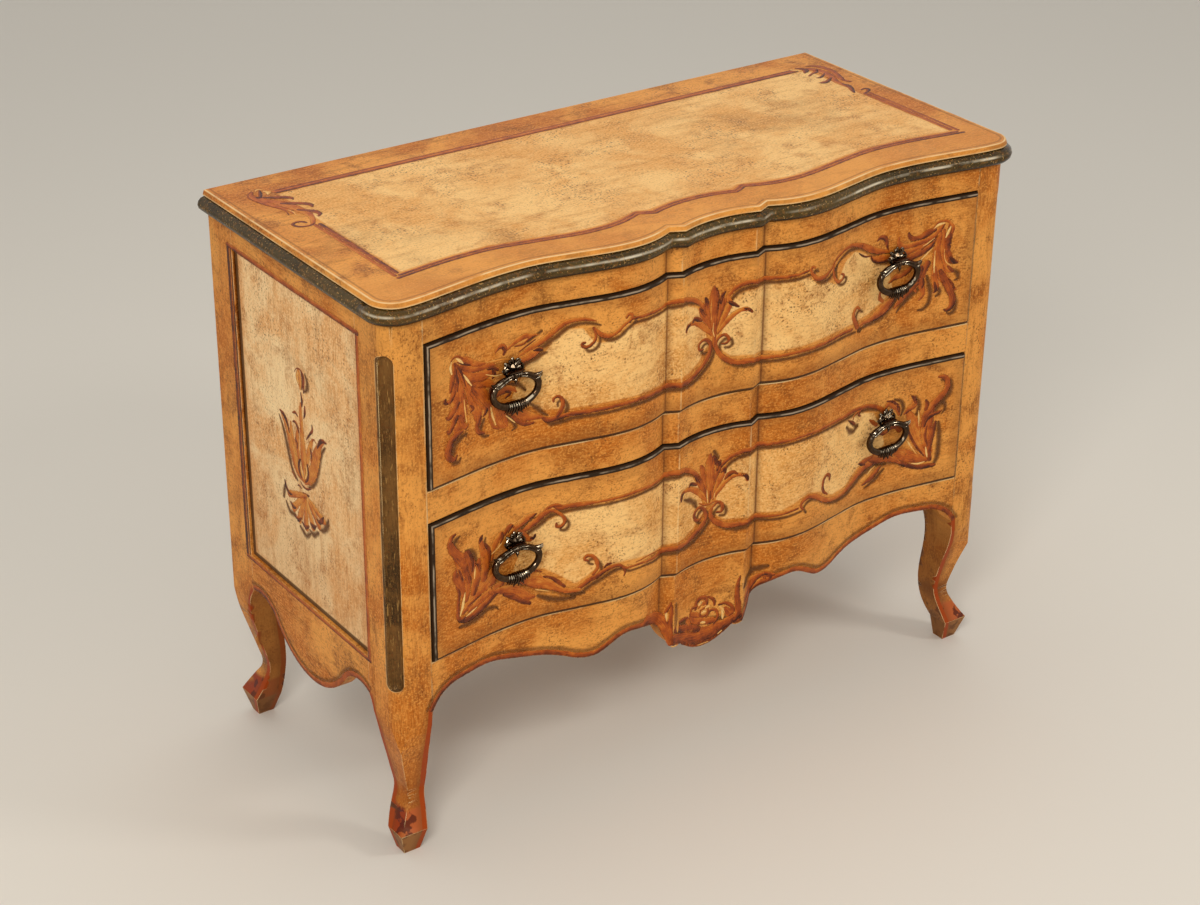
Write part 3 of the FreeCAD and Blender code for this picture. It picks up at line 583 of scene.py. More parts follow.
def studio():
    area_light("key light", (-2.6, -2.5, 3.0), (0, 0, 0.5), (1.3, 1.3), 76)
    area_light("fill light", (2.3, -2.9, 3.1), (0, 0, 0.6), (0.8, 0.6), 30)
    area_light("top light", (0.3, 0.8, 3.4), (0, 0, 0.6), (2.6, 2.0), 15)
    world = bpy.data.worlds.new("studio")
    bpy.context.scene.world = world
    world.use_nodes = True
    t = Tree(world.node_tree)
    backdrop = world.node_tree.nodes["Background"]
    t.feed(backdrop, {"Color": (*LAMP_COLOUR, 1.0), "Strength": 0.46})
    shown = t.add("ShaderNodeBackground", {"Color": (0.86, 0.85, 0.83, 1.0), "Strength": 1.0})
    path = t.add("ShaderNodeLightPath").outputs
    seen = t.most(path["Is Camera Ray"], path["Is Transmission Ray"], path["Is Glossy Ray"])
    both = t.add("ShaderNodeMixShader", {0: seen, 1: backdrop.outputs[0], 2: shown.outputs[0]})
    t.feed(world.node_tree.nodes["World Output"], {"Surface": both.outputs[0]})
    bpy.ops.mesh.primitive_plane_add(size=14.0, location=(0, 2.0, 0))
    floor = bpy.context.object
    floor.name = "floor"
    material, t, shader = new_material("floor")
    t.feed(shader, {"Base Color": colour(232, 228, 220), "Roughness": 0.7})
    floor.data.materials.append(material)
    bpy.context.scene.view_settings.view_transform = "Standard"


deselect()
camera()
studio()

ochre_along_x = frame_paint("ochre paint along the rails", ALONG_X, steps=True)
ochre_along_y = frame_paint("ochre paint along the sides", ALONG_Y)
dark_moulding = moulding_paint()

# ---------------------------------------------------------------- painted scrollwork
# Each stroke is (tone, casts a shadow, (along, up, half width) ...). A tone runs from 0, dark plum,
# to 1, cream; GLAZE is the thin brown glaze that gives a leaf its depth.

GLAZE = -1.0
THIN_GLAZE = -0.6

UPPER_SCROLLS = (
    (.42, 1, (-165, 784, 2.2), (-140, 782.5, 2.8), (-110, 781.5, 3.2), (-88, 782.5, 4),
     (-68, 785, 4.5), (-52, 781, 4.2), (-38, 774, 4), (-26, 764, 4), (-18, 752, 3.6), (-12, 738, 2.6)),
    (.42, 1, (-224, 782, 1.8), (-217, 773, 3.6), (-208, 767, 4.6), (-198, 766, 4.4), (-187, 770, 3.6),
     (-178, 777, 3), (-169, 782, 3), (-164, 786, 3.2), (-165, 791, 3), (-170, 792, 3), (-173, 788, 2.4)),
    (.35, 1, (-225, 782, 1.6), (-221, 772, 2.4), (-222, 763, 2.8), (-228, 756, 3), (-236, 754, 3.2),
     (-241, 757, 3.2), (-241, 761, 2.6), (-237, 761, 1.8)),
    (.42, 1, (-221, 792, 1), (-232, 796, 2.6), (-246, 799, 3.6), (-262, 798.5, 4.2), (-275, 793, 5),
     (-288, 784, 5.6), (-300, 777, 5.5), (-314, 770, 6), (-330, 763, 6.5), (-345, 756, 4)),
    (.5, 1, (-348, 752, 4), (-335, 755, 7), (-320, 758, 8), (-308, 763, 6), (-302, 764, 2)),
    (.12, 0, (-314, 764, 1.5), (-307, 764, 3.4), (-302, 762, 2.5)),
    (.42, 0, (-358, 777, 2), (-345, 785, 4.5), (-330, 789, 5), (-318, 788, 3.6), (-308, 787, 1.5)),
    (.2, 0, (-345, 778, 1.2), (-332, 778, 2), (-320, 784, 2), (-312, 787, 1.2)),
    (GLAZE, 0, (-322, 780, 2), (-304, 790, 3)),
    (.2, 0, (-338, 768, 1), (-325, 774, 1.6), (-312, 780, 1.2)),
    (.35, 0, (-378, 779, 2), (-373, 784, 4), (-366, 784, 5), (-362, 778, 4.5), (-364, 772, 3)),
    (.15, 0, (-366, 782, 2), (-363, 777, 2.6), (-365, 772, 1.6)),
    (.6, 0, (-405, 768, 1.5), (-385, 766, 2), (-365, 764, 1.5), (-352, 760, 1)),
    (.38, 1, (-302, 657, 2), (-294, 651, 4.6), (-280, 651, 4.6), (-262, 653.5, 4), (-240, 653, 4.2),
     (-205, 652.5, 3.4), (-170, 653.5, 3.8), (-130, 652.5, 4), (-100, 651, 4.4), (-88, 651, 5),
     (-68, 650, 5), (-50, 650, 5.4), (-36, 655, 5.4), (-22, 665, 5.4), (-12, 676, 5.4),
     (-6.5, 688, 4.8), (-8, 698, 4), (-14, 704, 3.6), (-22, 706, 3), (-29, 702, 2.8), (-30, 695, 2.8),
     (-26, 691, 2.4), (-21, 691, 1.6)),
    (.35, 1, (-278, 655, 3.5), (-272, 664, 4), (-270, 674, 3.6), (-273, 682, 3.2), (-279, 685, 2.8),
     (-284, 682, 2.6), (-284, 678, 1.8)),
    (.38, 1, (265, 650, 3), (240, 651, 3.4), (200, 650, 3.8), (150, 650.5, 3.4), (110, 649.5, 3.6),
     (88, 650, 4.6), (66, 655, 5), (50, 655, 5.2), (36, 657, 5), (24, 663, 5), (13, 672, 4.8),
     (5, 684, 4.2), (3, 694, 3.6), (8, 702, 3.2), (17, 705, 3), (24, 701, 3), (26, 694, 3),
     (21, 690, 2.4), (14, 691, 1.6)),
    (.45, 1, (14, 745, 2.5), (18, 757, 3.4), (24, 768, 4), (35, 777, 4.4), (50, 781.5, 4.4),
     (66, 782, 4.6), (88, 778.5, 4.2), (110, 777.5, 3.6), (140, 777.5, 2.8), (160, 780, 2)),
    (.38, 1, (170, 782, 2.4), (165, 784, 3), (163, 778, 3), (167, 771, 3.6), (174, 764, 4.4),
     (184, 761, 4.8), (194, 762, 4.2), (203, 767, 3.2), (212, 775, 2.2)),
    (.42, 1, (213, 777, 1.6), (212, 768, 2.4), (213, 757, 3), (219, 747, 3.2), (227, 742, 3.2),
     (235, 744, 3), (237, 750, 2.8), (232, 753, 2)),
    (.45, 1, (210, 775, 1.4), (220, 784, 3), (232, 790, 3.6), (246, 793, 4), (262, 791, 4),
     (278, 785, 5), (292, 777, 6), (306, 769, 6), (322, 763, 5), (338, 759, 3)),
    (.15, 0, (272, 774, 1), (280, 768, 1.8), (290, 763, 1.8), (302, 761, 1)),
    (.3, 0, (314, 783, 2), (320, 786, 4), (328, 784, 5), (333, 777, 4.5), (335, 768, 3),
     (338, 762, 1.5)),
    (.45, 1, (303, 757, 3), (312, 753, 6), (325, 751, 7), (338, 750, 6), (348, 750, 3)),
    (.12, 0, (302, 759, 1.6), (306, 752, 2.4), (316, 747, 2.4), (330, 744, 1.8), (344, 744, 1)),
)

UPPER_PALMETTE = (
    (.4, 0, (-2, 712, 2.5), (-7, 730, 4.5), (-12, 748, 5.5), (-15, 760, 5), (-18, 770, 3)),
    (.15, 0, (-13, 757, 2), (-16, 766, 3.2), (-19, 772, 2)),
    (.42, 0, (-4, 712, 2.5), (-12, 728, 4.5), (-20, 742, 5), (-27, 752, 4), (-30, 758, 2.4)),
    (.15, 0, (-20, 745, 2), (-25, 753, 3), (-29, 758, 2)),
    (.5, 0, (-5, 710, 2), (-16, 722, 4.5), (-28, 733, 5), (-40, 740, 4.2), (-51, 741, 3.4),
     (-58, 737, 2.6), (-58, 731, 1.6)),
    (.15, 0, (-48, 742, 1), (-56, 739, 3), (-59, 733, 2)),
    (.15, 0, (-26, 739, 2), (-33, 743, 3.4), (-41, 746, 3.4), (-45, 742, 1.6)),
    (.4, 0, (3, 712, 2.5), (7, 730, 4.5), (10, 748, 5), (12, 760, 4.4), (13, 770, 2.6)),
    (.12, 0, (10, 758, 2), (12, 768, 3), (16, 773, 2)),
    (.5, 0, (5, 712, 2.5), (13, 728, 4.5), (20, 742, 5.5), (25, 754, 5), (22, 764, 2.5)),
    (.15, 0, (24, 756, 2.4), (32, 751, 3.2), (40, 746, 1.6)),
    (.5, 0, (6, 710, 2), (18, 723, 4), (30, 733, 4.6), (42, 739, 3.6), (53, 740, 3), (60, 736, 2.2)),
    (.12, 0, (50, 741, 1.2), (58, 738, 2.6), (61, 734, 1.6)),
    (.45, 0, (0, 706, 3), (-1, 725, 5), (-2, 745, 7), (-3, 762, 8), (-3, 774, 7.5), (-3, 782, 5),
     (-3, 786, 2)),
    (.2, 0, (4, 740, 1), (5, 755, 2), (4, 770, 3), (1, 781, 2.5)),
    (.8, 0, (-7, 735, .8), (-8, 750, 1.2), (-7, 765, .8)),
    (.45, 0, (0, 712, 4), (-1, 700, 3), (0, 690, 2)),
    (.95, 0, (-2, 728, .8), (-3, 716, 1.2), (0, 706, .8)),
)

UPPER_LEFT_SPRAY = (
    (.52, 0, (-452, 782, 4), (-450, 765, 7), (-447, 745, 10), (-446, 725, 14), (-447, 705, 16),
     (-449, 690, 12), (-452, 680, 5)),
    (.35, 0, (-452, 752, 3), (-455, 740, 4), (-461, 731, 3.4), (-468, 731, 2.4), (-471, 735, 1.6)),
    (.1, 0, (-466, 729, 1.6), (-470, 732, 2.8), (-469, 736, 1.6)),
    (.4, 0, (-453, 776, 2), (-455, 766, 4), (-457, 756, 4), (-460, 745, 2)),
    (.3, 0, (-448, 722, 4), (-457, 712, 4.6), (-464, 706, 3.6), (-468, 708, 1.8)),
    (.3, 0, (-450, 702, 4), (-458, 692, 4.4), (-464, 684, 3.4), (-467, 687, 1.6)),
    (.3, 1, (-440, 678, 2), (-450, 676, 4.5), (-459, 670, 6), (-465, 660, 6.5), (-466, 650, 6),
     (-461, 642, 4.6), (-454, 640, 3), (-451, 644, 1.6)),
    (.3, 0, (-443, 700, 4), (-439, 688, 4), (-433, 681, 3), (-430, 685, 1.4)),
    (.5, 0, (-446, 780, 2), (-436, 760, 5), (-428, 742, 7), (-421, 722, 9), (-415, 705, 9),
     (-411, 690, 7), (-410, 680, 4)),
    (.28, 1, (-408, 688, 3), (-413, 679, 3.6), (-413, 670, 3.4), (-408, 664, 3), (-401, 662, 2)),
    (.4, 0, (-418, 730, 6), (-408, 715, 7), (-400, 705, 6), (-396, 697, 4), (-398, 690, 2)),
    (.15, 0, (-395, 704, 2), (-396, 695, 2.6), (-401, 688, 1.6)),
    (.2, 0, (-424, 712, 1.4), (-420, 706, 2.6), (-425, 702, 1)),
    (.42, 0, (-415, 735, 7), (-403, 722, 9), (-395, 708, 7), (-390, 700, 4)),
    (.15, 0, (-386, 735, 2), (-388, 722, 3), (-392, 712, 2)),
    (.38, 0, (-425, 748, 4), (-408, 740, 6), (-393, 736, 6), (-382, 728, 4), (-376, 720, 3)),
    (.5, 0, (-436, 764, 4), (-420, 755, 8), (-402, 751, 9), (-388, 752, 6), (-376, 753, 2.4)),
    (.15, 0, (-392, 757, 1.6), (-383, 756, 2.4), (-375, 751, 2)),
    (.12, 0, (-384, 752, 1.6), (-381, 746, 3.4), (-384, 741, 1.6)),
    (.45, 0, (-440, 776, 3), (-425, 768, 5), (-408, 764, 5), (-392, 763, 3.6), (-380, 760, 1.6)),
    (.42, 1, (-444, 790, 2), (-433, 785, 4.5), (-421, 777, 5), (-410, 771, 4), (-398, 768, 2)),
    (.2, 0, (-447, 785, 1), (-435, 779, 1.8), (-424, 774, 1.2)),
    (.45, 0, (-382, 705, 4), (-380, 690, 6), (-376, 675, 6.5), (-370, 664, 5), (-364, 659, 2)),
    (.35, 0, (-391, 698, 1), (-390, 680, 1.8), (-384, 666, 2.2), (-375, 660, 1.8)),
    (.45, 0, (-372, 692, 4), (-366, 678, 5), (-362, 666, 3.6), (-360, 660, 1.8)),
    (GLAZE, 0, (-364, 684, 2), (-357, 672, 4), (-350, 662, 4.4), (-345, 653, 3.4), (-350, 650, 1.5)),
    (.42, 0, (-358, 690, 3), (-348, 680, 5), (-338, 672, 8), (-325, 665, 8), (-314, 661, 4.6),
     (-304, 658, 2.6)),
    (.3, 0, (-356, 686, 1.2), (-350, 672, 2.4), (-340, 660, 3), (-328, 653, 3), (-316, 652, 2)),
    (GLAZE, 0, (-322, 684, 2), (-310, 674, 4), (-300, 663, 3.4), (-294, 659, 1.6)),
    (.4, 0, (-378, 712, 3), (-368, 716, 5.5), (-356, 716, 5), (-348, 713, 3), (-344, 708, 1.4)),
    (.15, 0, (-362, 714, 1), (-354, 709, 2.4), (-362, 704, 1.5)),
    (GLAZE, 0, (-355, 722, 3), (-340, 718, 4), (-330, 708, 3)),
    (.18, 0, (-452, 784, 1.4), (-450, 770, 2.4), (-447, 755, 2.4), (-448, 742, 1.2)),
    (.18, 0, (-449, 783, 1.4), (-441, 770, 2), (-436, 757, 1.6), (-433, 745, 1)),
    (1.0, 0, (-457, 788, 1.5), (-459, 780, 3.4), (-457, 771, 1.8)),
    (1.0, 0, (-448, 791, 1.5), (-443, 787, 3.4), (-437, 781, 1.6)),
    (1.0, 0, (-436, 763, 1), (-430, 754, 2.8), (-422, 742, 1.2)),
    (.35, 0, (-458, 790, .8), (-453, 794, 1.4), (-445, 794, 1.6), (-437, 788, 1.2)),
    (.85, 0, (-436, 725, 1), (-434, 705, 2), (-432, 690, 1.6)),
    (.9, 0, (-396, 750, .8), (-380, 743, 1.4), (-368, 742, 1)),
    (.95, 0, (-388, 697, 1.4), (-385, 682, 2.6), (-380, 668, 1.6)),
    (.95, 0, (-362, 676, 1), (-354, 668, 1.6), (-347, 661, 1)),
)

UPPER_RIGHT_SPRAY = (
    (.5, 0, (436, 780, 4), (424, 770, 7), (410, 762, 9), (395, 756, 9), (380, 752, 8), (365, 748, 4)),
    (.3, 1, (424, 778, 3), (410, 774, 6), (398, 769, 5), (386, 770, 4), (378, 775, 3.4),
     (376, 780, 2.4)),
    (.38, 0, (412, 763, 3), (392, 761, 4.5), (374, 760, 4.5), (362, 764, 4.4), (356, 771, 3.6),
     (357, 776, 2.2)),
    (.4, 0, (425, 755, 4), (405, 746, 6), (388, 741, 6), (372, 740, 4), (360, 742, 2)),
    (.18, 0, (441, 784, 1), (430, 770, 1.6), (416, 758, 1.6), (402, 749, 1)),
    (.18, 0, (438, 780, 1), (430, 764, 1.8), (418, 750, 1.6), (404, 740, 1)),
    (.32, 0, (452, 782, 3), (451, 765, 6), (448, 750, 7), (449, 736, 6.5), (454, 725, 6),
     (462, 718, 4.4), (469, 716, 2)),
    (.42, 0, (440, 772, 4), (438, 750, 7), (440, 730, 9), (446, 714, 8), (453, 706, 5),
     (461, 702, 2.4)),
    (.18, 0, (452, 712, 1.6), (458, 706, 2.8), (463, 701, 1.6)),
    (GLAZE, 0, (462, 704, 3), (470, 698, 4.4), (473, 688, 3.4), (468, 686, 1.6)),
    (.45, 0, (434, 768, 4), (430, 745, 6), (432, 722, 8), (440, 702, 9), (450, 688, 7),
     (460, 676, 4.6), (469, 670, 2)),
    (.2, 0, (452, 692, 1.6), (460, 682, 3), (467, 673, 2)),
    (.32, 1, (440, 705, 4), (448, 690, 6), (456, 676, 6), (463, 662, 5.4), (466, 650, 5.4),
     (463, 640, 4.6), (456, 636, 3), (452, 638, 1.6)),
    (.4, 0, (428, 712, 4), (429, 698, 6), (432, 686, 6), (434, 676, 4), (430, 672, 1.6)),
    (.15, 0, (430, 688, 1.6), (433, 678, 3), (431, 672, 1.4)),
    (GLAZE, 0, (436, 680, 2), (441, 670, 3.6), (436, 665, 2.4)),
    (.42, 0, (414, 722, 6), (406, 708, 7), (404, 694, 6.4), (408, 682, 4.6), (410, 672, 3.4),
     (404, 664, 2)),
    (.18, 0, (408, 700, 1.4), (410, 690, 2.4), (406, 682, 1.2)),
    (GLAZE, 0, (416, 700, 3), (421, 684, 4.6), (424, 668, 4.6), (421, 654, 4.4), (413, 646, 3.4),
     (404, 646, 1.6)),
    (.45, 0, (402, 715, 6), (396, 700, 6), (393, 688, 4), (396, 680, 1.8)),
    (.42, 1, (398, 692, 3), (384, 684, 6), (372, 675, 6), (362, 666, 4), (357, 660, 1.8)),
    (.45, 1, (362, 682, 3), (350, 676, 6), (338, 668, 9), (324, 660, 8.5), (308, 654, 5),
     (292, 653, 3.4), (276, 650, 3)),
    (.25, 0, (356, 672, 1), (346, 662, 1.8), (332, 654, 2), (316, 650, 1.6)),
    (.38, 1, (278, 650, 3.6), (272, 660, 4), (267, 671, 3.6), (268, 679, 3.4), (274, 684, 3),
     (281, 680, 1.8)),
    (.4, 0, (344, 706, 2), (354, 712, 4.4), (366, 713, 4.4), (376, 716, 5), (384, 722, 4)),
    (.45, 0, (326, 694, 1.6), (326, 684, 3.4), (332, 678, 3)),
    (.95, 0, (424, 764, .8), (412, 757, 1.4), (404, 754, .8)),
    (.95, 0, (422, 748, .8), (410, 738, 2), (401, 731, 1.2)),
    (.95, 0, (427, 742, 1), (427, 722, 2), (428, 706, 1.4)),
    (1.0, 0, (421, 780, 1.4), (430, 785, 3.4), (440, 786, 1.6)),
    (1.0, 0, (453, 779, 1.6), (449, 771, 4.2), (445, 762, 1.8)),
    (.35, 0, (419, 779, 1), (429, 789, 1.6), (442, 790, 1.8), (452, 784, 2), (457, 776, 3),
     (456, 768, 2)),
    (.85, 0, (444, 742, .8), (445, 728, 1.2), (450, 718, 1.2), (458, 712, .8)),
    (.12, 0, (456, 726, 2), (462, 719, 3), (468, 715, 1.6)),
)

LOWER_SCROLLS = (
    (.42, 1, (-285, 509, 1.2), (-276, 505, 4), (-262, 505, 4.6), (-240, 504, 4.6), (-210, 502.5, 2.6),
     (-180, 502.5, 3), (-140, 503, 3.4), (-110, 502, 4), (-88, 504, 5), (-68, 506, 5.4),
     (-52, 503, 5), (-38, 495, 4.4), (-27, 485, 4), (-20, 474, 4), (-15, 464, 3)),
    (.36, 0, (-272, 508, 2), (-282, 511, 3.4), (-292, 509, 3), (-299, 505, 2), (-303, 500, 1)),
    (.42, 1, (-340, 478, 3), (-325, 486, 6), (-312, 492, 6.5), (-300, 500, 5.4), (-288, 503, 3.6),
     (-278, 498, 2.6), (-270, 490, 3), (-267, 481, 3.4), (-272, 474, 3.6), (-279, 475, 3.2),
     (-280, 480, 2)),
    (.48, 1, (-362, 484, 2), (-350, 490, 5), (-338, 497, 8), (-326, 502, 7.5), (-316, 503, 4),
     (-312, 503, 1.6)),
    (.15, 0, (-322, 499, 1.6), (-315, 502, 2.6), (-312, 504, 1.4)),
    (.42, 0, (-340, 485, 3), (-333, 474, 6), (-325, 466, 6), (-317, 465, 3.6), (-313, 468, 1.6)),
    (.12, 0, (-322, 466, 2), (-316, 466, 3), (-314, 470, 1.6)),
    (.35, 0, (-366, 486, 2), (-362, 494, 4.6), (-356, 497, 5), (-351, 494, 2.4)),
    (.12, 0, (-360, 488, 1.4), (-356, 494, 3), (-352, 497, 1.6)),
    (.45, 0, (-390, 455, 3), (-388, 470, 6), (-381, 483, 7), (-373, 491, 5), (-368, 490, 2.4)),
    (.2, 0, (-374, 476, 1.6), (-370, 484, 3.6), (-371, 491, 2)),
    (.9, 0, (-392, 462, .8), (-380, 468, 1.6), (-372, 474, 1)),
    (.4, 1, (-262, 362, 2.4), (-250, 362, 3.4), (-240, 367, 4.4), (-228, 374, 5), (-215, 379, 5),
     (-203, 385, 4.4), (-192, 388, 3.6), (-180, 387, 3), (-171, 380, 2.6), (-160, 378.5, 2),
     (-140, 377.5, 2.2), (-115, 375, 3), (-88, 376, 5.4), (-68, 377, 5.4), (-50, 376, 5.6),
     (-36, 380, 5.6), (-23, 387, 5.6), (-12, 396, 5.4), (-6, 405, 4.8), (-7, 415, 4),
     (-12, 422, 3.6), (-20, 427, 3.2), (-28, 422, 3.4), (-30, 415, 3.6), (-27, 408, 3.4),
     (-21, 405, 3), (-15, 408, 2)),
    (.2, 0, (-205, 390, 1.6), (-200, 394, 3), (-194, 394, 1.6)),
    (.36, 1, (-222, 383, 3), (-216, 392, 3.4), (-217, 402, 3.6), (-221, 410, 3.4), (-227, 415, 3.4),
     (-234, 415, 3.8), (-236, 410, 3), (-231, 407, 1.8)),
    (.4, 0, (-150, 383, .8), (-120, 384, 1), (-95, 380, .8)),
    (.2, 0, (-172, 378, 2), (-170, 372, 2.2), (-172, 367, 1.4)),
    (.4, 1, (160, 378, 2), (130, 376, 2.6), (105, 377, 3), (88, 380, 5), (68, 380, 5.4),
     (50, 379, 5.6), (36, 380, 5.6), (24, 385, 5.6), (12, 393, 5), (4, 403, 4.4), (3, 413, 3.8),
     (8, 421, 3.4), (16, 425, 3.2), (23, 421, 3.4), (25, 413, 3.6), (22, 407, 3.2), (15, 408, 2.2)),
    (.44, 1, (14, 480, 2.6), (22, 488, 3.6), (34, 497, 4.4), (48, 503, 4.6), (66, 505, 5),
     (88, 504.5, 5), (120, 503, 3.6), (150, 504, 3), (180, 504, 3.2), (215, 503.5, 3.4),
     (250, 504, 3.8), (270, 505, 4.4), (290, 505, 4), (310, 503, 4), (330, 497, 4), (345, 488, 4.4),
     (352, 480, 3)),
    (.4, 1, (170, 374, 2.4), (166, 381, 3), (170, 388, 3.8), (182, 392, 4.6), (196, 388, 5),
     (208, 380, 5), (222, 371, 5), (238, 366, 4.8), (255, 365, 4.6), (272, 368, 5), (288, 377, 6),
     (303, 387, 7.4), (320, 396, 8), (338, 398, 7), (352, 394, 3)),
    (.34, 0, (226, 380, 1.8), (217, 388, 3.2), (214, 398, 3.4), (216, 409, 3.4), (223, 415, 3.4),
     (230, 411, 3.6), (230, 404, 2.4)),
    (.15, 1, (270, 492, 1.2), (276, 488, 2.6), (282, 484, 3.6), (286, 481, 2.4)),
    (.38, 0, (300, 498, 1.4), (292, 499, 2.4), (285, 496, 2), (282, 490, 1.6)),
    (.25, 0, (304, 500, 1.6), (299, 499, 2.6), (295, 494, 3), (299, 490, 1.8)),
    (GLAZE, 0, (268, 480, 3), (275, 472, 5), (284, 468, 5), (292, 474, 4)),
    (.4, 0, (352, 487, 3), (360, 494, 6), (370, 489, 7), (378, 480, 6), (381, 470, 3)),
    (.18, 0, (356, 499, 1.6), (366, 496, 2.4), (377, 487, 3), (381, 475, 2.4)),
    (GLAZE, 0, (372, 498, 2), (384, 492, 4), (389, 480, 4), (386, 468, 2)),
    (.4, 0, (322, 475, 2), (328, 470, 4), (336, 463, 4)),
)

LOWER_PALMETTE = (
    (.4, 0, (-3, 440, 2.6), (-8, 458, 4.6), (-12, 475, 5.4), (-15, 488, 5), (-18, 496, 3)),
    (.42, 0, (-5, 438, 2.6), (-12, 452, 4.6), (-18, 466, 5), (-24, 477, 4.4), (-28, 484, 2.4)),
    (.15, 0, (-20, 470, 2), (-25, 478, 3.6), (-30, 484, 2)),
    (.5, 0, (-5, 434, 2), (-15, 446, 4.4), (-26, 457, 4.8), (-38, 465, 4), (-50, 468, 3.4),
     (-59, 464, 2.8), (-61, 457, 2.4)),
    (.12, 0, (-54, 467, 1.4), (-60, 462, 3), (-61, 455, 2.4)),
    (.15, 0, (-27, 468, 1.8), (-34, 472, 3.2), (-40, 474, 2.6), (-43, 470, 1)),
    (GLAZE, 0, (-52, 452, 2.4), (-40, 446, 5), (-30, 438, 5), (-25, 428, 3)),
    (.42, 0, (4, 440, 2.6), (8, 458, 4.6), (12, 474, 5), (16, 486, 4.4), (18, 495, 2.4)),
    (.12, 0, (12, 480, 1.6), (17, 490, 3), (14, 496, 1.2)),
    (.45, 0, (6, 438, 2.6), (14, 455, 5), (20, 468, 5.4), (25, 478, 4.4), (28, 482, 2)),
    (.15, 0, (21, 476, 2), (26, 480, 3.4), (27, 474, 2.4)),
    (.5, 0, (7, 434, 2), (17, 446, 4.4), (28, 458, 4.6), (40, 464, 3.6), (52, 465, 3.2),
     (62, 461, 3), (64, 454, 2.4)),
    (.12, 0, (54, 466, 1.4), (62, 461, 3), (64, 455, 2)),
    (.3, 0, (28, 463, 2), (34, 469, 4), (42, 471, 3), (48, 467, 1.4)),
    (.42, 0, (1, 436, 3), (1, 455, 6), (0, 475, 8), (-1, 490, 8.5), (-1, 502, 7.5), (-1, 509, 3.6)),
    (.18, 0, (6, 505, 3), (9, 498, 4), (12, 492, 3)),
    (GLAZE, 0, (8, 512, 4), (12, 505, 5)),
    (.95, 0, (-5, 452, .8), (-4, 440, 1.8), (-3, 430, 1)),
    (.95, 0, (10, 442, 1.2), (9, 434, 1)),
    (.2, 0, (1, 448, .8), (1, 436, 1.4), (0, 426, 1)),
    (.35, 0, (-20, 434, 1.2), (-10, 428, 1.8), (0, 427, 1.6), (12, 428, 1.6), (20, 424, 1.6)),
)

LOWER_LEFT_SPRAY = (
    (.5, 0, (-444, 390, 4), (-432, 400, 10), (-418, 408, 14), (-402, 416, 16), (-390, 428, 12),
     (-384, 440, 6)),
    (.48, 0, (-430, 388, 5), (-412, 396, 7), (-392, 402, 8), (-375, 408, 6)),
    (.42, 0, (-440, 410, 6), (-440, 430, 9), (-442, 448, 10), (-448, 465, 8), (-455, 477, 4),
     (-460, 484, 1.8)),
    (.42, 0, (-444, 415, 3), (-447, 430, 6), (-452, 442, 7), (-458, 452, 6), (-459, 460, 3.6),
     (-456, 464, 1.6)),
    (.2, 0, (-452, 462, 1.2), (-448, 452, 2), (-445, 443, 1.4)),
    (.32, 1, (-432, 440, 7), (-436, 460, 9), (-444, 475, 9), (-455, 488, 7), (-463, 499, 6.4),
     (-467, 509, 5.4), (-464, 518, 4), (-458, 521, 2.4)),
    (.4, 0, (-425, 445, 6), (-428, 462, 7), (-434, 476, 6), (-438, 484, 3)),
    (.2, 0, (-434, 486, 2), (-429, 476, 2.8), (-426, 462, 2.4), (-427, 450, 1.4)),
    (GLAZE, 0, (-437, 487, 2), (-427, 482, 5), (-422, 470, 6), (-421, 458, 5), (-425, 452, 2.4)),
    (.45, 0, (-425, 415, 6), (-420, 435, 8), (-416, 450, 7), (-414, 462, 4)),
    (.2, 0, (-410, 436, 1.4), (-411, 446, 3), (-415, 455, 2.4), (-419, 458, 1)),
    (.42, 1, (-405, 430, 6), (-402, 450, 8), (-403, 465, 7.5), (-408, 480, 5), (-410, 492, 4),
     (-408, 499, 2)),
    (.15, 0, (-412, 490, 1.6), (-410, 496, 3), (-407, 500, 1.4)),
    (.18, 0, (-402, 484, 2), (-396, 474, 3.2), (-394, 462, 3), (-396, 452, 2)),
    (.3, 0, (-452, 378, 3), (-440, 375, 5), (-425, 377, 6), (-408, 384, 6.4), (-392, 392, 5.4),
     (-378, 398, 3.6), (-362, 399, 2.4)),
    (GLAZE, 0, (-450, 367, 3), (-435, 366, 5), (-418, 369, 6.4), (-400, 375, 5.4), (-385, 373, 3),
     (-380, 368, 1.4)),
    (.3, 0, (-441, 380, 1.6), (-449, 378, 3.6), (-454, 383, 3.4), (-455, 395, 3.4), (-454, 410, 3),
     (-452, 424, 2.4), (-457, 435, 1.4)),
    (.42, 0, (-385, 400, 3), (-368, 396, 7), (-352, 390, 8), (-338, 380, 8), (-326, 370, 6.4),
     (-317, 367, 3)),
    (.25, 0, (-368, 388, 3), (-355, 380, 4.4), (-345, 372, 4), (-335, 364, 3.6), (-324, 358, 3)),
    (GLAZE, 0, (-308, 365, 3), (-290, 356, 5), (-272, 351, 5), (-255, 350, 4)),
    (.5, 1, (-340, 402, 5), (-325, 399, 11), (-310, 392, 13), (-296, 384, 9), (-282, 375, 7),
     (-268, 366, 5), (-256, 362, 3.6), (-245, 361, 2.6)),
    (.2, 0, (-322, 409, 2), (-312, 408, 2.4), (-304, 405, 1.4)),
    (.25, 0, (-300, 396, 1.4), (-288, 391, 2.4), (-278, 382, 3), (-268, 372, 2.4)),
    (.85, 0, (-314, 378, .8), (-302, 373, 1.6), (-292, 369, .8)),
    (.2, 0, (-436, 396, 1.2), (-424, 401, 2.4), (-412, 404, 1.2)),
    (.92, 0, (-423, 436, 1), (-422, 446, 2), (-421, 454, 1)),
    (1.0, 0, (-451, 386, 1.6), (-447, 396, 3.6), (-444, 408, 3.4), (-441, 420, 1)),
    (1.0, 0, (-440, 380, 1), (-430, 383, 2.6), (-420, 387, 1.4)),
)

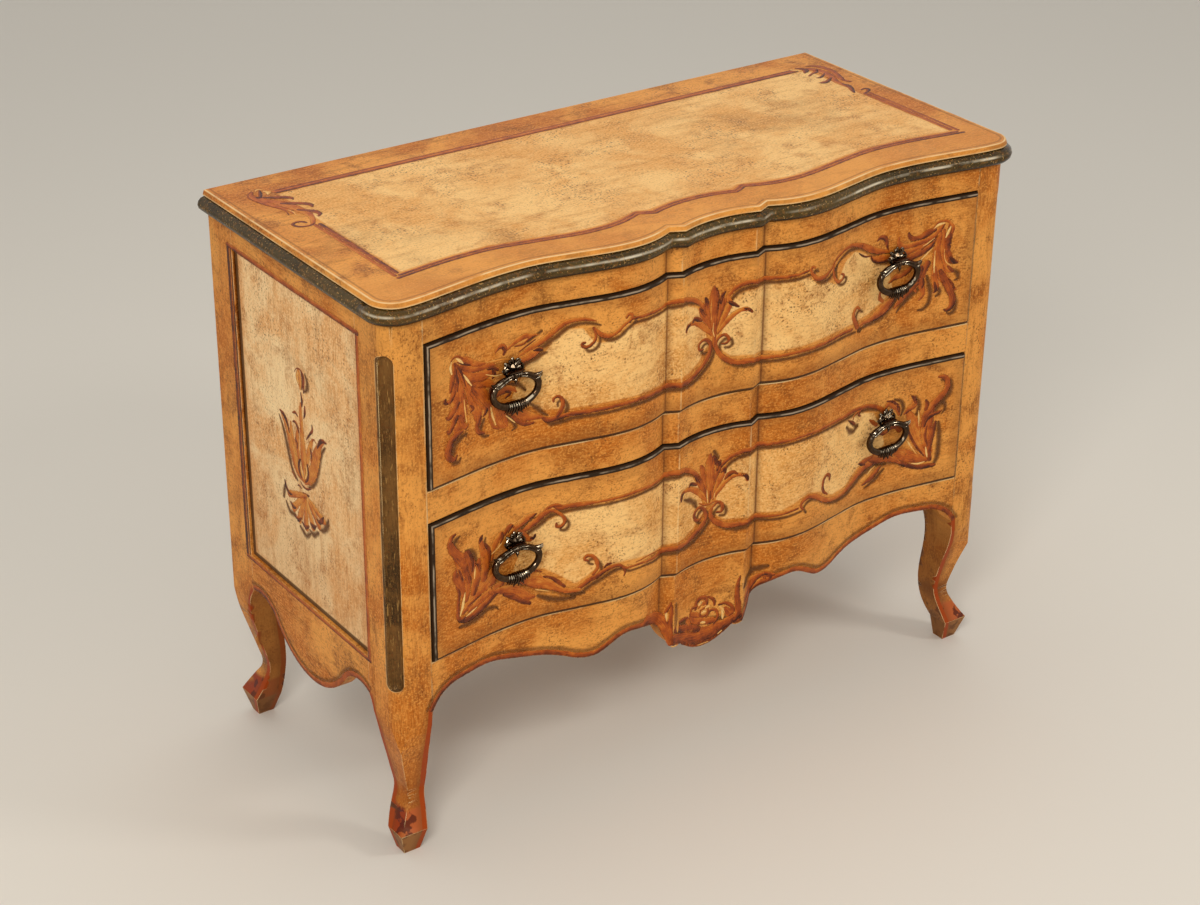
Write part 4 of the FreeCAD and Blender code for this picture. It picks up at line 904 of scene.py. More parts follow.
LOWER_RIGHT_SPRAY = (
    (.5, 0, (440, 385, 5), (430, 400, 9), (420, 420, 12), (412, 440, 11), (405, 458, 8),
     (398, 470, 4)),
    (.45, 0, (445, 390, 5), (438, 410, 9), (436, 430, 11), (438, 448, 9), (442, 462, 6),
     (448, 472, 3)),
    (.48, 0, (438, 375, 4), (420, 382, 8), (402, 390, 11), (385, 398, 10), (370, 402, 6)),
    (.32, 1, (430, 440, 4), (432, 455, 6), (440, 468, 7), (452, 480, 6.4), (463, 490, 6),
     (469, 501, 5.6), (468, 512, 5), (462, 519, 4), (453, 521, 2.2)),
    (.25, 0, (434, 445, 2), (437, 451, 3.4), (446, 455, 3.4), (456, 457, 3), (461, 459, 1.4)),
    (GLAZE, 0, (455, 478, 3), (466, 472, 4.4), (468, 462, 4), (464, 455, 2)),
    (.25, 0, (431, 484, 1.4), (434, 477, 3.6), (432, 468, 3)),
    (.38, 0, (392, 468, 2), (400, 475, 5), (408, 480, 6), (410, 488, 3.6), (406, 495, 1.8)),
    (.15, 0, (404, 497, 1.4), (409, 492, 3), (412, 484, 2.4)),
    (GLAZE, 0, (412, 492, 3), (418, 482, 4.4), (418, 468, 4), (412, 458, 2)),
    (.25, 0, (452, 440, 2.4), (448, 425, 5), (444, 405, 5.4), (443, 390, 4), (446, 375, 4)),
    (GLAZE, 0, (458, 436, 4), (461, 415, 5), (461, 395, 5), (460, 375, 5), (454, 363, 4)),
    (.2, 0, (456, 362, 2.4), (446, 363, 4), (430, 364, 4.4), (412, 369, 4), (396, 377, 3.4),
     (382, 386, 2.4)),
    (.45, 1, (330, 404, 6), (345, 402, 9), (362, 398, 8), (378, 390, 5), (390, 380, 2)),
    (.3, 0, (305, 404, 2), (312, 404, 4.4), (322, 406, 4), (332, 408, 2)),
    (.12, 0, (303, 403, 1.4), (309, 401, 3), (316, 398, 1.6)),
    (.3, 1, (350, 384, 2), (342, 378, 4.6), (332, 370, 5), (322, 365, 3.6), (314, 362, 1.6)),
    (.85, 0, (324, 378, 1.2), (331, 384, 2.6), (338, 388, 1.4)),
    (.4, 0, (348, 446, 2), (356, 444, 3.4), (366, 450, 4), (376, 450, 5), (384, 442, 5)),
    (.2, 0, (343, 445, 1.4), (352, 442, 2.6)),
    (.2, 0, (434, 384, 1.2), (420, 402, 2), (408, 422, 2), (400, 440, 1.2)),
    (.2, 0, (440, 400, 1), (434, 420, 2.4), (436, 436, 1.2)),
    (1.0, 0, (441, 380, 1.2), (439, 388, 2.6), (437, 398, 1.4)),
    (1.0, 0, (412, 374, 1), (424, 371, 2.4), (436, 372, 1.4)),
    (.9, 0, (420, 390, .8), (411, 402, 2), (403, 414, 2.4), (397, 422, 1)),
    (.9, 0, (421, 440, 1), (420, 455, 2), (418, 468, 1)),
)

APRON_SHELL = (
    (.34, 0, (-64, 213, 8), (-45, 205, 12), (-22, 196, 16), (0, 192, 16), (22, 195, 15),
     (42, 203, 10), (60, 211, 8)),
    (.3, 0, (-60, 226, 7), (-44, 220, 8), (-28, 214, 8), (-12, 206, 7)),
    (GLAZE, 0, (-48, 232, 8), (-30, 226, 9), (-10, 220, 9), (12, 214, 8), (34, 212, 7)),
    (.38, 0, (-26, 238, 5), (-22, 228, 7), (-12, 221, 8), (2, 217, 8), (16, 213, 7)),
    (.38, 0, (62, 282, 1.6), (59, 270, 3.6), (58, 250, 5), (60, 232, 6), (60, 215, 5.6),
     (56, 206, 3)),
    (.36, 0, (74, 234, 3), (80, 248, 7), (90, 261, 9), (104, 267, 9), (118, 268, 6), (125, 267, 3)),
    (GLAZE, 0, (72, 262, 4), (80, 274, 6), (96, 282, 6), (112, 284, 4)),
    (.46, 0, (92, 248, 3), (98, 256, 4.6), (108, 261, 4.4), (116, 262, 2)),
    (.3, 0, (88, 245, 2), (92, 255, 3.6), (98, 265, 4), (107, 271, 4), (116, 270, 3.6),
     (120, 264, 3), (116, 258, 2)),
    (.34, 0, (-72, 206, 5), (-76, 226, 9), (-84, 246, 11), (-99, 260, 12), (-117, 267, 10),
     (-128, 264, 5)),
    (.36, 0, (-71, 206, 2), (-71, 226, 3), (-72, 246, 3.4), (-71, 262, 3), (-71, 274, 2)),
    (.85, 0, (-78, 262, 1.4), (-77.5, 255, 2.6), (-77, 247, 1.2)),
    (THIN_GLAZE, 0, (-62, 272, 3), (-61, 252, 4.4), (-61, 236, 4)),
    (.26, 0, (-72, 278, 2), (-78, 265, 3), (-80, 262, 1.6)),
    (.35, 0, (-17, 244, 3), (-15, 256, 4.4), (-6, 261, 4.4), (4, 256, 4), (6, 246, 3)),
    (.42, 0, (-10, 246, 4), (-6, 252, 6), (0, 248, 4)),
    (.92, 0, (-9, 249, 2.6), (-7, 251, 4.4), (-4, 252, 2.6)),
    (.32, 0, (8, 258, 2), (18, 250, 3.6), (20, 240, 2.4)),
    (.4, 0, (-25, 238, 5), (-17, 234, 6), (-10, 230, 5)),
    (.35, 0, (-28, 238, 2), (-24, 248, 3), (-14, 248, 2)),
    (.32, 0, (-6, 238, 2), (5, 240, 2.4), (8, 231, 2.4), (0, 225, 2.4), (-8, 230, 2.4),
     (-6, 238, 1.6)),
    (.92, 0, (-2, 232, 3), (0, 232, 4.4), (2, 232, 3)),
    (.92, 0, (4, 239, 2), (7, 240, 3), (10, 240, 1.6)),
    (.92, 0, (-5, 215, 2), (-2, 214, 3.4), (2, 213, 2)),
    (.32, 0, (5, 222, 1.6), (14, 232, 3), (24, 228, 3), (26, 216, 3), (20, 206, 2)),
    (.42, 0, (40, 226, 6), (44, 220, 7), (48, 214, 5)),
    (.95, 0, (30, 234, 2), (36, 224, 3.4), (35, 212, 2)),
    (.32, 0, (28, 238, 2), (40, 238, 3.6), (50, 230, 3.6), (52, 220, 3.4), (46, 214, 2)),
    (.8, 0, (-57, 240, 2), (-57, 230, 3.4), (-57, 222, 2)),
    (.3, 0, (-52, 236, 3), (-42, 237, 4), (-34, 236, 2)),
    (.5, 0, (-34, 230, 5), (-32, 226, 5), (-30, 222, 4)),
    (.95, 0, (-70, 200, 1.2), (-60, 198, 1.4)),
    (.95, 0, (28, 185, 1), (34, 189, 1.2)),
    (.9, 0, (-10, 175.6, .8), (10, 175.6, .8)),
)

SIDE_FLOWER = (
    (.62, 0, (14, 650, 3), (16, 636, 5), (15, 620, 6), (15, 600, 7), (14, 580, 9), (14, 560, 10),
     (13, 545, 8)),
    (.62, 0, (-16, 604, 3), (-8, 590, 6), (0, 572, 6), (4, 556, 4)),
    (.62, 0, (26, 606, 3), (30, 590, 6), (31, 574, 6), (28, 556, 4)),
    (.58, 0, (48, 606, 3), (47, 592, 6), (42, 574, 7), (36, 556, 5)),
    (.58, 0, (-28, 600, 2), (-22, 588, 5), (-12, 570, 6)),
    (.66, 0, (13, 676, 3), (15, 688, 9), (16, 697, 8), (15, 704, 3)),
    (.85, 0, (19, 682, 2), (21, 690, 4.4), (19, 698, 2.4)),
    (.3, 0, (4, 672, 1.4), (2, 684, 2.4), (1, 694, 3), (4, 702, 2.6), (12, 706, 1.6), (22, 703, 1),
     (28, 696, .8)),
    (.15, 0, (8, 676, 1.6), (5, 686, 3.4), (4, 696, 3.6), (8, 702, 1.6)),
    (GLAZE, 0, (-4, 702, 2.4), (-9, 692, 5), (-6, 680, 4), (2, 674, 2)),
    (.15, 0, (12, 668, 1.6), (10, 658, 3.4), (11, 648, 2)),
    (.2, 0, (2, 650, 2), (3, 640, 3.4), (7, 630, 1.6)),
    (.2, 0, (-17, 628, 1.8), (-17, 620, 3), (-10, 612, 2.6), (-3, 604, 2), (2, 598, 1)),
    (.62, 0, (-50, 614, 2.4), (-40, 606, 5), (-32, 592, 8.6), (-24, 574, 12), (-16, 556, 13),
     (-6, 542, 13), (4, 532, 11), (12, 524, 5)),
    (.15, 0, (-56, 616, 2), (-48, 616, 3.6), (-40, 612, 4.4), (-34, 605, 3.6), (-30, 598, 1.6)),
    (GLAZE, 0, (-52, 606, 2), (-42, 594, 4), (-34, 574, 5), (-26, 550, 5), (-14, 530, 4),
     (0, 520, 3)),
    (.3, 0, (-28, 603, 1), (-20, 607, 1.4), (-16, 602, 1)),
    (.15, 0, (-8, 588, 1.6), (-11, 580, 3), (-9, 572, 1.6)),
    (.6, 0, (76, 612, 2), (66, 600, 5), (56, 584, 7.6), (48, 566, 10), (40, 548, 12), (30, 534, 11),
     (20, 526, 6)),
    (.15, 0, (79, 614, 2), (70, 612, 4), (62, 606, 4.4), (57, 598, 3), (54, 588, 1.8)),
    (GLAZE, 0, (82, 604, 2), (72, 588, 4), (64, 568, 5), (57, 546, 5), (50, 528, 4), (38, 518, 3)),
    (.2, 0, (26, 626, 1.6), (32, 629, 3), (40, 626, 1.6)),
    (.2, 0, (24, 600, 1.6), (28, 608, 3.2), (35, 613, 3), (41, 611, 1.4)),
    (.15, 0, (36, 586, 1.4), (31, 580, 2.6), (31, 572, 1.4)),
    (.62, 0, (13, 556, 2), (14, 540, 3), (14, 526, 2)),
    (.15, 0, (3, 556, 2), (1, 545, 3), (4, 533, 3), (11, 525, 2)),
    (.15, 0, (24, 556, 2), (29, 548, 3.4), (29, 538, 3.6), (24, 528, 2.4)),
    (.95, 0, (8, 553, 1), (6, 542, 2.4), (11, 531, 1.4)),
    (.95, 0, (22, 548, 1), (22, 538, 2.4), (17, 528, 1.4)),
    (.25, 0, (-4, 520, 1.4), (8, 514, 2.2), (20, 514, 2), (26, 518, 1.2)),
    (.25, 0, (42, 518, 2), (50, 524, 2.4)),
    (.15, 0, (3, 505, 1.6), (12, 502, 3.4), (20, 502, 2.4)),
    (.15, 0, (26, 508, 1.4), (33, 510, 2), (36, 508, 1)),
    (.62, 0, (14, 500, 4), (-12, 492, 6), (-38, 482, 7)),
    (.62, 0, (14, 500, 4), (-4, 486, 6), (-22, 468, 8)),
    (.62, 0, (14, 500, 4), (6, 480, 6), (-4, 458, 8)),
    (.62, 0, (14, 500, 4), (15, 476, 6), (16, 448, 8)),
    (.62, 0, (14, 500, 4), (24, 478, 6), (36, 452, 8)),
    (.62, 0, (14, 500, 4), (32, 484, 6), (52, 464, 8)),
    (.62, 0, (14, 500, 4), (38, 492, 6), (64, 482, 7)),
    (.15, 0, (-38, 488, 1.6), (-33, 480, 5), (-25, 474, 4), (-18, 476, 1.6)),
    (.15, 0, (-14, 462, 2), (-7, 458, 5.4), (1, 460, 3)),
    (.15, 0, (8, 452, 2), (18, 446, 4), (28, 450, 2)),
    (.15, 0, (30, 456, 1.6), (40, 448, 3.6), (50, 452, 2.4)),
    (.15, 0, (46, 466, 1.6), (54, 465, 4), (61, 469, 2)),
    (.15, 0, (56, 484, 1.8), (66, 484, 3.6), (74, 492, 3.6), (76, 499, 2)),
    (GLAZE, 0, (-52, 488, 3), (-48, 478, 6), (-38, 466, 5), (-26, 462, 2.4)),
    (GLAZE, 0, (-18, 452, 4), (-6, 444, 5), (4, 446, 3)),
    (GLAZE, 0, (6, 440, 3), (18, 432, 5), (32, 438, 4)),
    (GLAZE, 0, (52, 452, 5), (66, 452, 5), (74, 462, 3)),
    (GLAZE, 0, (78, 486, 4), (82, 472, 4)),
)

SIDE_PANEL_BORDER = (
    (.42, 0, (-166, 314, 4.6), (-166, 560, 5), (-166, 832, 4.6)),
    (.26, 0, (205, 314, 4.4), (204.6, 560, 4.8), (205, 832, 4.4)),
    (.1, 0, (196.8, 318, 1.8), (196.8, 560, 2.2), (196.8, 828, 1.8)),
    (.4, 0, (-168, 832, 4.4), (20, 832, 4.8), (206, 832, 4.2)),
    (.38, 0, (-168, 312, 3.4), (20, 312, 3.8), (206, 312, 3.4)),
)

TOP_LEFT_CORNER = (
    (.42, 0, (-514, 212, 3), (-521, 200, 5), (-520, 185, 9), (-514, 168, 12), (-508, 150, 10),
     (-503, 135, 8), (-501, 120, 5), (-503, 108, 2)),
    (.35, 0, (-513, 215, 1.2), (-524, 205, 1.4), (-528, 190, 1.4), (-524, 170, 1.4),
     (-518, 150, 1.4), (-508, 125, 1.4), (-511, 105, 1)),
    (.48, 0, (-506, 165, 7), (-498, 148, 10), (-492, 130, 10), (-488, 110, 9), (-486, 92, 7),
     (-490, 75, 5), (-496, 62, 4), (-502, 55, 3)),
    (.12, 0, (-501, 212, 1.6), (-504, 204, 3), (-509, 194, 3.4), (-515, 186, 3), (-517, 192, 1.4)),
    (.9, 0, (-497, 206, 2), (-493, 199, 5), (-497, 193, 2)),
    (.9, 0, (-507, 213, 1), (-502, 217, 1.6), (-495, 214, 1)),
    (.2, 0, (-508, 184, 3), (-496, 176, 5), (-485, 170, 6), (-477, 162, 5), (-477, 155, 2)),
    (.22, 0, (-498, 150, 3), (-486, 142, 6), (-474, 134, 6), (-466, 124, 5), (-468, 114, 2)),
    (.25, 0, (-490, 115, 3), (-480, 105, 5), (-473, 95, 6), (-472, 85, 4), (-478, 78, 2)),
    (.85, 0, (-503, 122, 1), (-500, 112, 1.8), (-502, 98, 1.2), (-497, 88, 1)),
    (.2, 0, (-496, 58, 2), (-506, 54, 2.6), (-516, 56, 3), (-523, 62, 3.2), (-524, 70, 3),
     (-517, 75, 3), (-508, 73, 3.4), (-505, 67, 2.6)),
)

TOP_RIGHT_CORNER = (
    (.38, 0, (520, 204, 2), (530, 198, 4), (538, 185, 6), (540, 165, 6), (536, 148, 6),
     (530, 130, 6), (526, 115, 4), (530, 105, 4)),
    (.45, 0, (515, 190, 6), (522, 175, 9), (522, 155, 9), (518, 138, 8), (512, 120, 6),
     (510, 100, 5), (512, 85, 4)),
    (.2, 0, (498, 205, 2), (504, 198, 5), (506, 188, 6), (500, 182, 5), (495, 178, 2)),
    (.9, 0, (487, 202, 3), (492, 195, 4), (498, 192, 1.6)),
    (.22, 0, (522, 180, 3), (513, 172, 5), (502, 168, 3), (492, 162, 2.4)),
    (.22, 0, (520, 158, 2), (510, 150, 3), (500, 146, 3.4), (497, 148, 1.6)),
    (.22, 0, (515, 135, 3), (505, 128, 4), (496, 124, 6), (488, 124, 5), (484, 126, 1.6)),
    (.2, 0, (512, 100, 3), (514, 90, 5), (510, 78, 5), (504, 66, 4), (500, 58, 2)),
    (.22, 0, (512, 46, 2), (522, 50, 3.4), (530, 58, 4), (527, 64, 3), (519, 62, 2)),
)

TOP_BORDER_LINES = (
    (.5, 0, (-482, 196, 6.5), (0, 196, 6.5), (490, 196, 6.5)),
    (.32, 0, (-480, 201, 2.6), (0, 201, 2.4), (488, 201, 2.6)),
    (.27, 0, (-484, 190.5, 2), (0, 190.5, 1.8), (490, 190.5, 2)),
    (.44, 0, (-498.5, 52, 3.5), (-498.5, -60, 3.5), (-498.5, -166, 3.5)),
    (.3, 0, (-491, 50, 4), (-491, -60, 4), (-491, -158, 4)),
    (.44, 0, (512, 44, 4), (512, -70, 4), (512, -158, 4)),
    (.3, 0, (520.5, 42, 3.5), (520.5, -70, 3.5), (520.5, -166, 3.5)),
)

# ---------------------------------------------------------------- laying a stroke on a surface

LIGHT_ON_SCROLL = Vector((-0.5, 0.85)).normalized()
ACROSS = (-1.0, -0.55, 0.0, 0.55, 1.0)
CREASES = (-STEP_BACK[0], -STEP_FRONT[0], STEP_FRONT[0], STEP_BACK[0])
STATION_STEP = 2.4
TONE_TURN = 0.055
END_DARKENING = 0.13
PAINT_LIFT = 0.26
SHADOW_LIFT = 0.17
COAT = 0.004
SHADOW_SHIFT = (6.4, -7.2)


def on_front(proud=0.0):
    """Gives the place of a point on the front, or on a drawer front proud of it."""
    return lambda x, z, lift: (x, CREST_Y - proud - lift + setback(x), z)


def on_side(way, sunk=0.0):
    """Gives the place of a point on a side, or on the panel sunk in it."""
    return lambda y, z, lift: (way * (CASE_HALF_WIDTH - sunk + lift), y, z)


def on_top(x, y, lift):
    return x, y, TOP_Z + lift


def through_points(points):
    """A smooth line through (u, v, half width) points, as stations about a step apart."""
    if len(points) == 2:
        points = (points[0], tuple((a + b) / 2 for a, b in zip(*points)), points[1])
    ends = (tuple(2 * a - b for a, b in zip(points[0], points[1])),
            tuple(2 * a - b for a, b in zip(points[-1], points[-2])))
    run = (ends[0], *points, ends[1])
    stations = []
    for p0, p1, p2, p3 in zip(run, run[1:], run[2:], run[3:]):
        count = max(2, round(math.dist(p1[:2], p2[:2]) / STATION_STEP))
        for number in range(count):
            t = number / count
            stations.append([0.5 * (2 * b + (c - a) * t + (2 * a - 5 * b + 4 * c - d) * t ** 2
                                    + (3 * b - a - 3 * c + d) * t ** 3)
                             for a, b, c, d in zip(p0, p1, p2, p3)])
    stations.append(list(points[-1]))
    return stations


def rounded_ends(stations):
    """Adds a tapering end to both ends of a stroke."""
    def end(tip, before):
        way = Vector((tip[0] - before[0], tip[1] - before[1])).normalized()
        return [[tip[0] + way.x * tip[2] * s, tip[1] + way.y * tip[2] * s,
                 tip[2] * math.sqrt(1 - s * s)] for s in (0.5, 0.8, 0.96)]
    return end(stations[0], stations[1])[::-1] + stations + end(stations[-1], stations[-2])


def stroke_rows(stations):
    """Five points across each station: (u, v), the place along, the light it catches, the place
    across. On the inside of a tight turn the points keep short of the turn's centre."""
    rows = []
    along = 0.0
    for number, (u, v, half) in enumerate(stations):
        before = stations[max(number - 1, 0)]
        after = stations[min(number + 1, len(stations) - 1)]
        way = Vector((after[0] - before[0], after[1] - before[1]))
        reach = max(way.length, 1e-6)
        way /= reach
        left = Vector((-way.y, way.x))
        bend = 0.0
        if 0 < number < len(stations) - 1:
            first = Vector((u - before[0], v - before[1]))
            second = Vector((after[0] - u, after[1] - v))
            along += first.length
            if first.length and second.length:
                bend = first.angle_signed(second, 0.0)
        radius = reach / 2 / max(abs(bend), 1e-4)
        row = []
        for across in ACROSS:
            offset = across * half
            if offset * bend < 0:
                offset = math.copysign(min(abs(offset), 0.85 * radius), offset)
            place = Vector((u, v)) + left * offset
            row.append((place.x, place.y, along, across * left.dot(LIGHT_ON_SCROLL), across))
        rows.append(row)
    return rows


def laid_strokes(name, strokes, place, body, lift, creases):
    """One mesh of strokes in painter's order, split at the creases of a surface and laid on it."""
    vertices, faces, brush, tones = [], [], [], []
    for number, (tone, _, *points) in enumerate(strokes):
        leaf = 0.2 < tone < 0.8
        turn = TONE_TURN * math.sin(2.4 * number) if leaf else 0.0
        first = len(vertices)
        rows = stroke_rows(rounded_ends(through_points(points)))
        for index, row in enumerate(rows):
            from_middle = abs(2 * index / (len(rows) - 1) - 1)
            here = tone + turn - (END_DARKENING * from_middle ** 3 if leaf else 0.0)
            for u, v, along, shade, across in row:
                vertices.append((u, v, lift + COAT * number))
                brush += (along + 37.0 * number, shade, across)
                tones.append(here)
        for index in range(len(rows) - 1):
            for column in range(4):
                corner = first + 5 * index + column
                faces.append((corner, corner + 1, corner + 6, corner + 5))
    mesh = bpy.data.meshes.new(name)
    mesh.from_pydata(vertices, [], faces)
    mesh.attributes.new("brush", "FLOAT_VECTOR", "POINT").data.foreach_set("vector", brush)
    mesh.attributes.new("tone", "FLOAT", "POINT").data.foreach_set("value", tones)
    sheet = bmesh.new()
    sheet.from_mesh(mesh)
    for crease in creases:
        everything = sheet.verts[:] + sheet.edges[:] + sheet.faces[:]
        bmesh.ops.bisect_plane(sheet, geom=everything, plane_co=(crease, 0, 0),
                               plane_no=(1, 0, 0))
    for vertex in sheet.verts:
        vertex.co = Vector(place(*vertex.co)) * MM
    outward = Vector(place(0, 0, 1)) - Vector(place(0, 0, 0))
    for face in sheet.faces:
        face.normal_update()
        face.smooth = True
        if face.normal.dot(outward) < 0:
            face.normal_flip()
    sheet.to_mesh(mesh)
    sheet.free()
    obj = linked(name, mesh)
    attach(obj, body)
    return obj


def fuller(strokes, share):
    """The same strokes, with wider leaves and narrower highlights."""
    def width(tone):
        return share if 0 <= tone < 0.8 else 0.75 if tone > 0 else 1.0
    return tuple((tone, casts, *((u, v, half * width(tone)) for u, v, half in points))
                 for tone, casts, *points in strokes)


def painted(name, strokes, place, body, slot, creases=()):
    """The strokes of one surface, their glazes, and the shadows of the raised scrolls."""
    opaque = [stroke for stroke in strokes if stroke[0] >= 0]
    glazes = [(tone, 0, *((u, v, 1.3 * half + 0.8) for u, v, half in points))
              for tone, _, *points in strokes if tone < 0]
    for tone, casts, *points in strokes:
        if casts:
            glazes.append((GLAZE, 0, *((u + SHADOW_SHIFT[0], v + SHADOW_SHIFT[1], half + 1.4)
                                       for u, v, half in points)))
    dress(laid_strokes(name, opaque, place, body, PAINT_LIFT, creases), scroll_paint, slot)
    if glazes:
        dress(laid_strokes(name + "_shadows", glazes, place, body, SHADOW_LIFT, creases),
              shadow_glaze, slot)


def arcs(start, heading, ends, step=3.0):
    """Points along arcs that run on from one another, as the aprons are sawn."""
    points = [start]
    heading = math.radians(heading)
    for end in ends:
        chord = math.dist(start, end)
        direction = math.atan2(end[1] - start[1], end[0] - start[0])
        half_turn = math.remainder(direction - heading, 2 * math.pi)
        count = max(2, round(chord / step))
        if abs(half_turn) < 1e-4:
            points += [tuple(a + (b - a) * n / count for a, b in zip(start, end))
                       for n in range(1, count + 1)]
        else:
            radius = chord / 2 / math.sin(half_turn)
            centre = (start[0] - radius * math.sin(heading), start[1] + radius * math.cos(heading))
            for number in range(1, count + 1):
                angle = heading + 2 * half_turn * number / count
                points.append((centre[0] + radius * math.sin(angle),
                               centre[1] - radius * math.cos(angle)))
        heading += 2 * half_turn
        start = end
    return points


def sawn_edge(middle, back_run, front_run):
    """A sawn edge as one line, from the end of one run over a level point to the other's."""
    return arcs(middle, 180, back_run)[::-1] + arcs(middle, 0, front_run)[1:]


def edge_line(edge, inset, half, tone, inward=1):
    """A stroke that keeps a distance inside a sawn edge."""
    points = []
    for before, here, after in zip(edge, edge[1:], edge[2:]):
        way = Vector((after[0] - before[0], after[1] - before[1])).normalized()
        points.append((here[0] - inward * way.y * inset, here[1] + inward * way.x * inset, half))
    return (tone, 0, *points[::2])


# ---------------------------------------------------------------- paints for the ornament

def brushed_material(name):
    """A new material with the light, tone and place of its strokes, and a mask with a ragged edge."""
    material, t, shader = new_material(name)
    brush = t.parts(t.add("ShaderNodeAttribute", attribute_name="brush").outputs["Vector"])
    tone = t.add("ShaderNodeAttribute", attribute_name="tone").outputs["Fac"]
    place = t.place()

    def inside(scale, detail, depth):
        grain = t.minus(t.noise(place, scale, detail, 0.6), 0.5)
        return t.sloped(grain, depth, t.minus(1.0, t.size(brush[2])))

    return material, t, shader, brush, tone, place, inside


def scroll_paint_material():
    """Rust and plum brushwork: lit along one side and in painted shade along the other, with ragged
    edges.
    """
    material, t, shader, brush, tone, place, inside = brushed_material("scroll paint")
    along, shade, across = brush
    cloud = t.noise(place, 70.0, 4, 0.6)
    hairs_at = t.add("ShaderNodeCombineXYZ", {0: t.times(along, 0.03), 1: t.times(across, 3.2)})
    hairs = t.noise(hairs_at.outputs[0], 2.0, 4, 0.6)
    value = t.plus(t.times(shade, 0.25), t.plus(tone, 0.02))
    value = t.sloped(t.minus(cloud, 0.5), 0.62, value)
    value = t.sloped(t.minus(hairs, 0.5), 0.66, value)
    ramp = t.add("ShaderNodeValToRGB", {"Fac": value})
    elements = ramp.color_ramp.elements
    elements[0].color = colour(44, 18, 8)
    elements[1].color = colour(242, 198, 124)
    for position, shown in ((0.16, (90, 36, 12)), (0.32, (150, 66, 16)), (0.48, (186, 92, 22)),
                            (0.68, (212, 132, 46)), (0.88, (226, 160, 76))):
        elements.new(position).color = colour(*shown)
    # Painted shade: darker on the side of each stroke that faces away from the light.
    shown = t.over(ramp.outputs["Color"], colour(74, 30, 12), t.ramp(shade, -0.62, -0.95),
                   t.ramp(tone, 0.9, 0.6), 0.56)
    shown = t.over(shown, colour(58, 34, 16), t.ramp(t.noise(place, 420.0, 2), 0.62, 0.72), 0.5)
    chips = t.ramp(t.noise(place, 120.0, 4, 0.65), 0.70, 0.62)
    t.feed(shader, {
        "Base Color": shown,
        "Alpha": t.times(t.ramp(inside(260.0, 3, 0.9), -0.05, 0.34), t.sloped(chips, 0.42, 0.56)),
        "Roughness": 0.46,
        "Specular IOR Level": 0.25,
        "Normal": t.bump(0.25, 0.6, hairs)})
    return material


def shadow_glaze_material():
    """A thin brown glaze that fades towards the sides of its strokes."""
    material, t, shader, _, tone, _, inside = brushed_material("shadow glaze")
    t.feed(shader, {
        "Base Color": colour(104, 60, 22),
        "Alpha": t.times(t.ramp(inside(90.0, 4, 0.8), -0.05, 0.95), t.times(tone, -0.78)),
        "Roughness": 0.5,
        "Specular IOR Level": 0.25})
    return material


scroll_paint = scroll_paint_material()
shadow_glaze = shadow_glaze_material()

# ---------------------------------------------------------------- paints for the woodwork
# The inner edges of the legs are (height, place) points.

FLUTE_AXIS = (549.55, -221.05)
FLUTE_ENDS = (300.2, 806.8)
FLUTE_RADIUS = 14.2
LEG_TOP_Z = 262.0
SOLE_Z = 38.0
FRONT_INNER_EDGE = ((0, 521.0), (38.7, 514.0), (75, 506.5), (106, 502.5), (200, 505.5),
                    (244, POST_INNER_X), (LEG_TOP_Z, POST_INNER_X))
SIDE_INNER_EDGE = ((0, -200.7), (38.7, -197.2), (75, -175.7), (106, -172.2), (200, -177.2),
                   (254, POST_FRONT_BACK_Y), (270, POST_FRONT_BACK_Y))
BACK_INNER_EDGE = ((0, 230.0), (38.7, 213.0), (75, 210.5), (106, 211.5), (200, 216.0),
                   (254, POST_BACK_FRONT_Y), (270, POST_BACK_FRONT_Y))


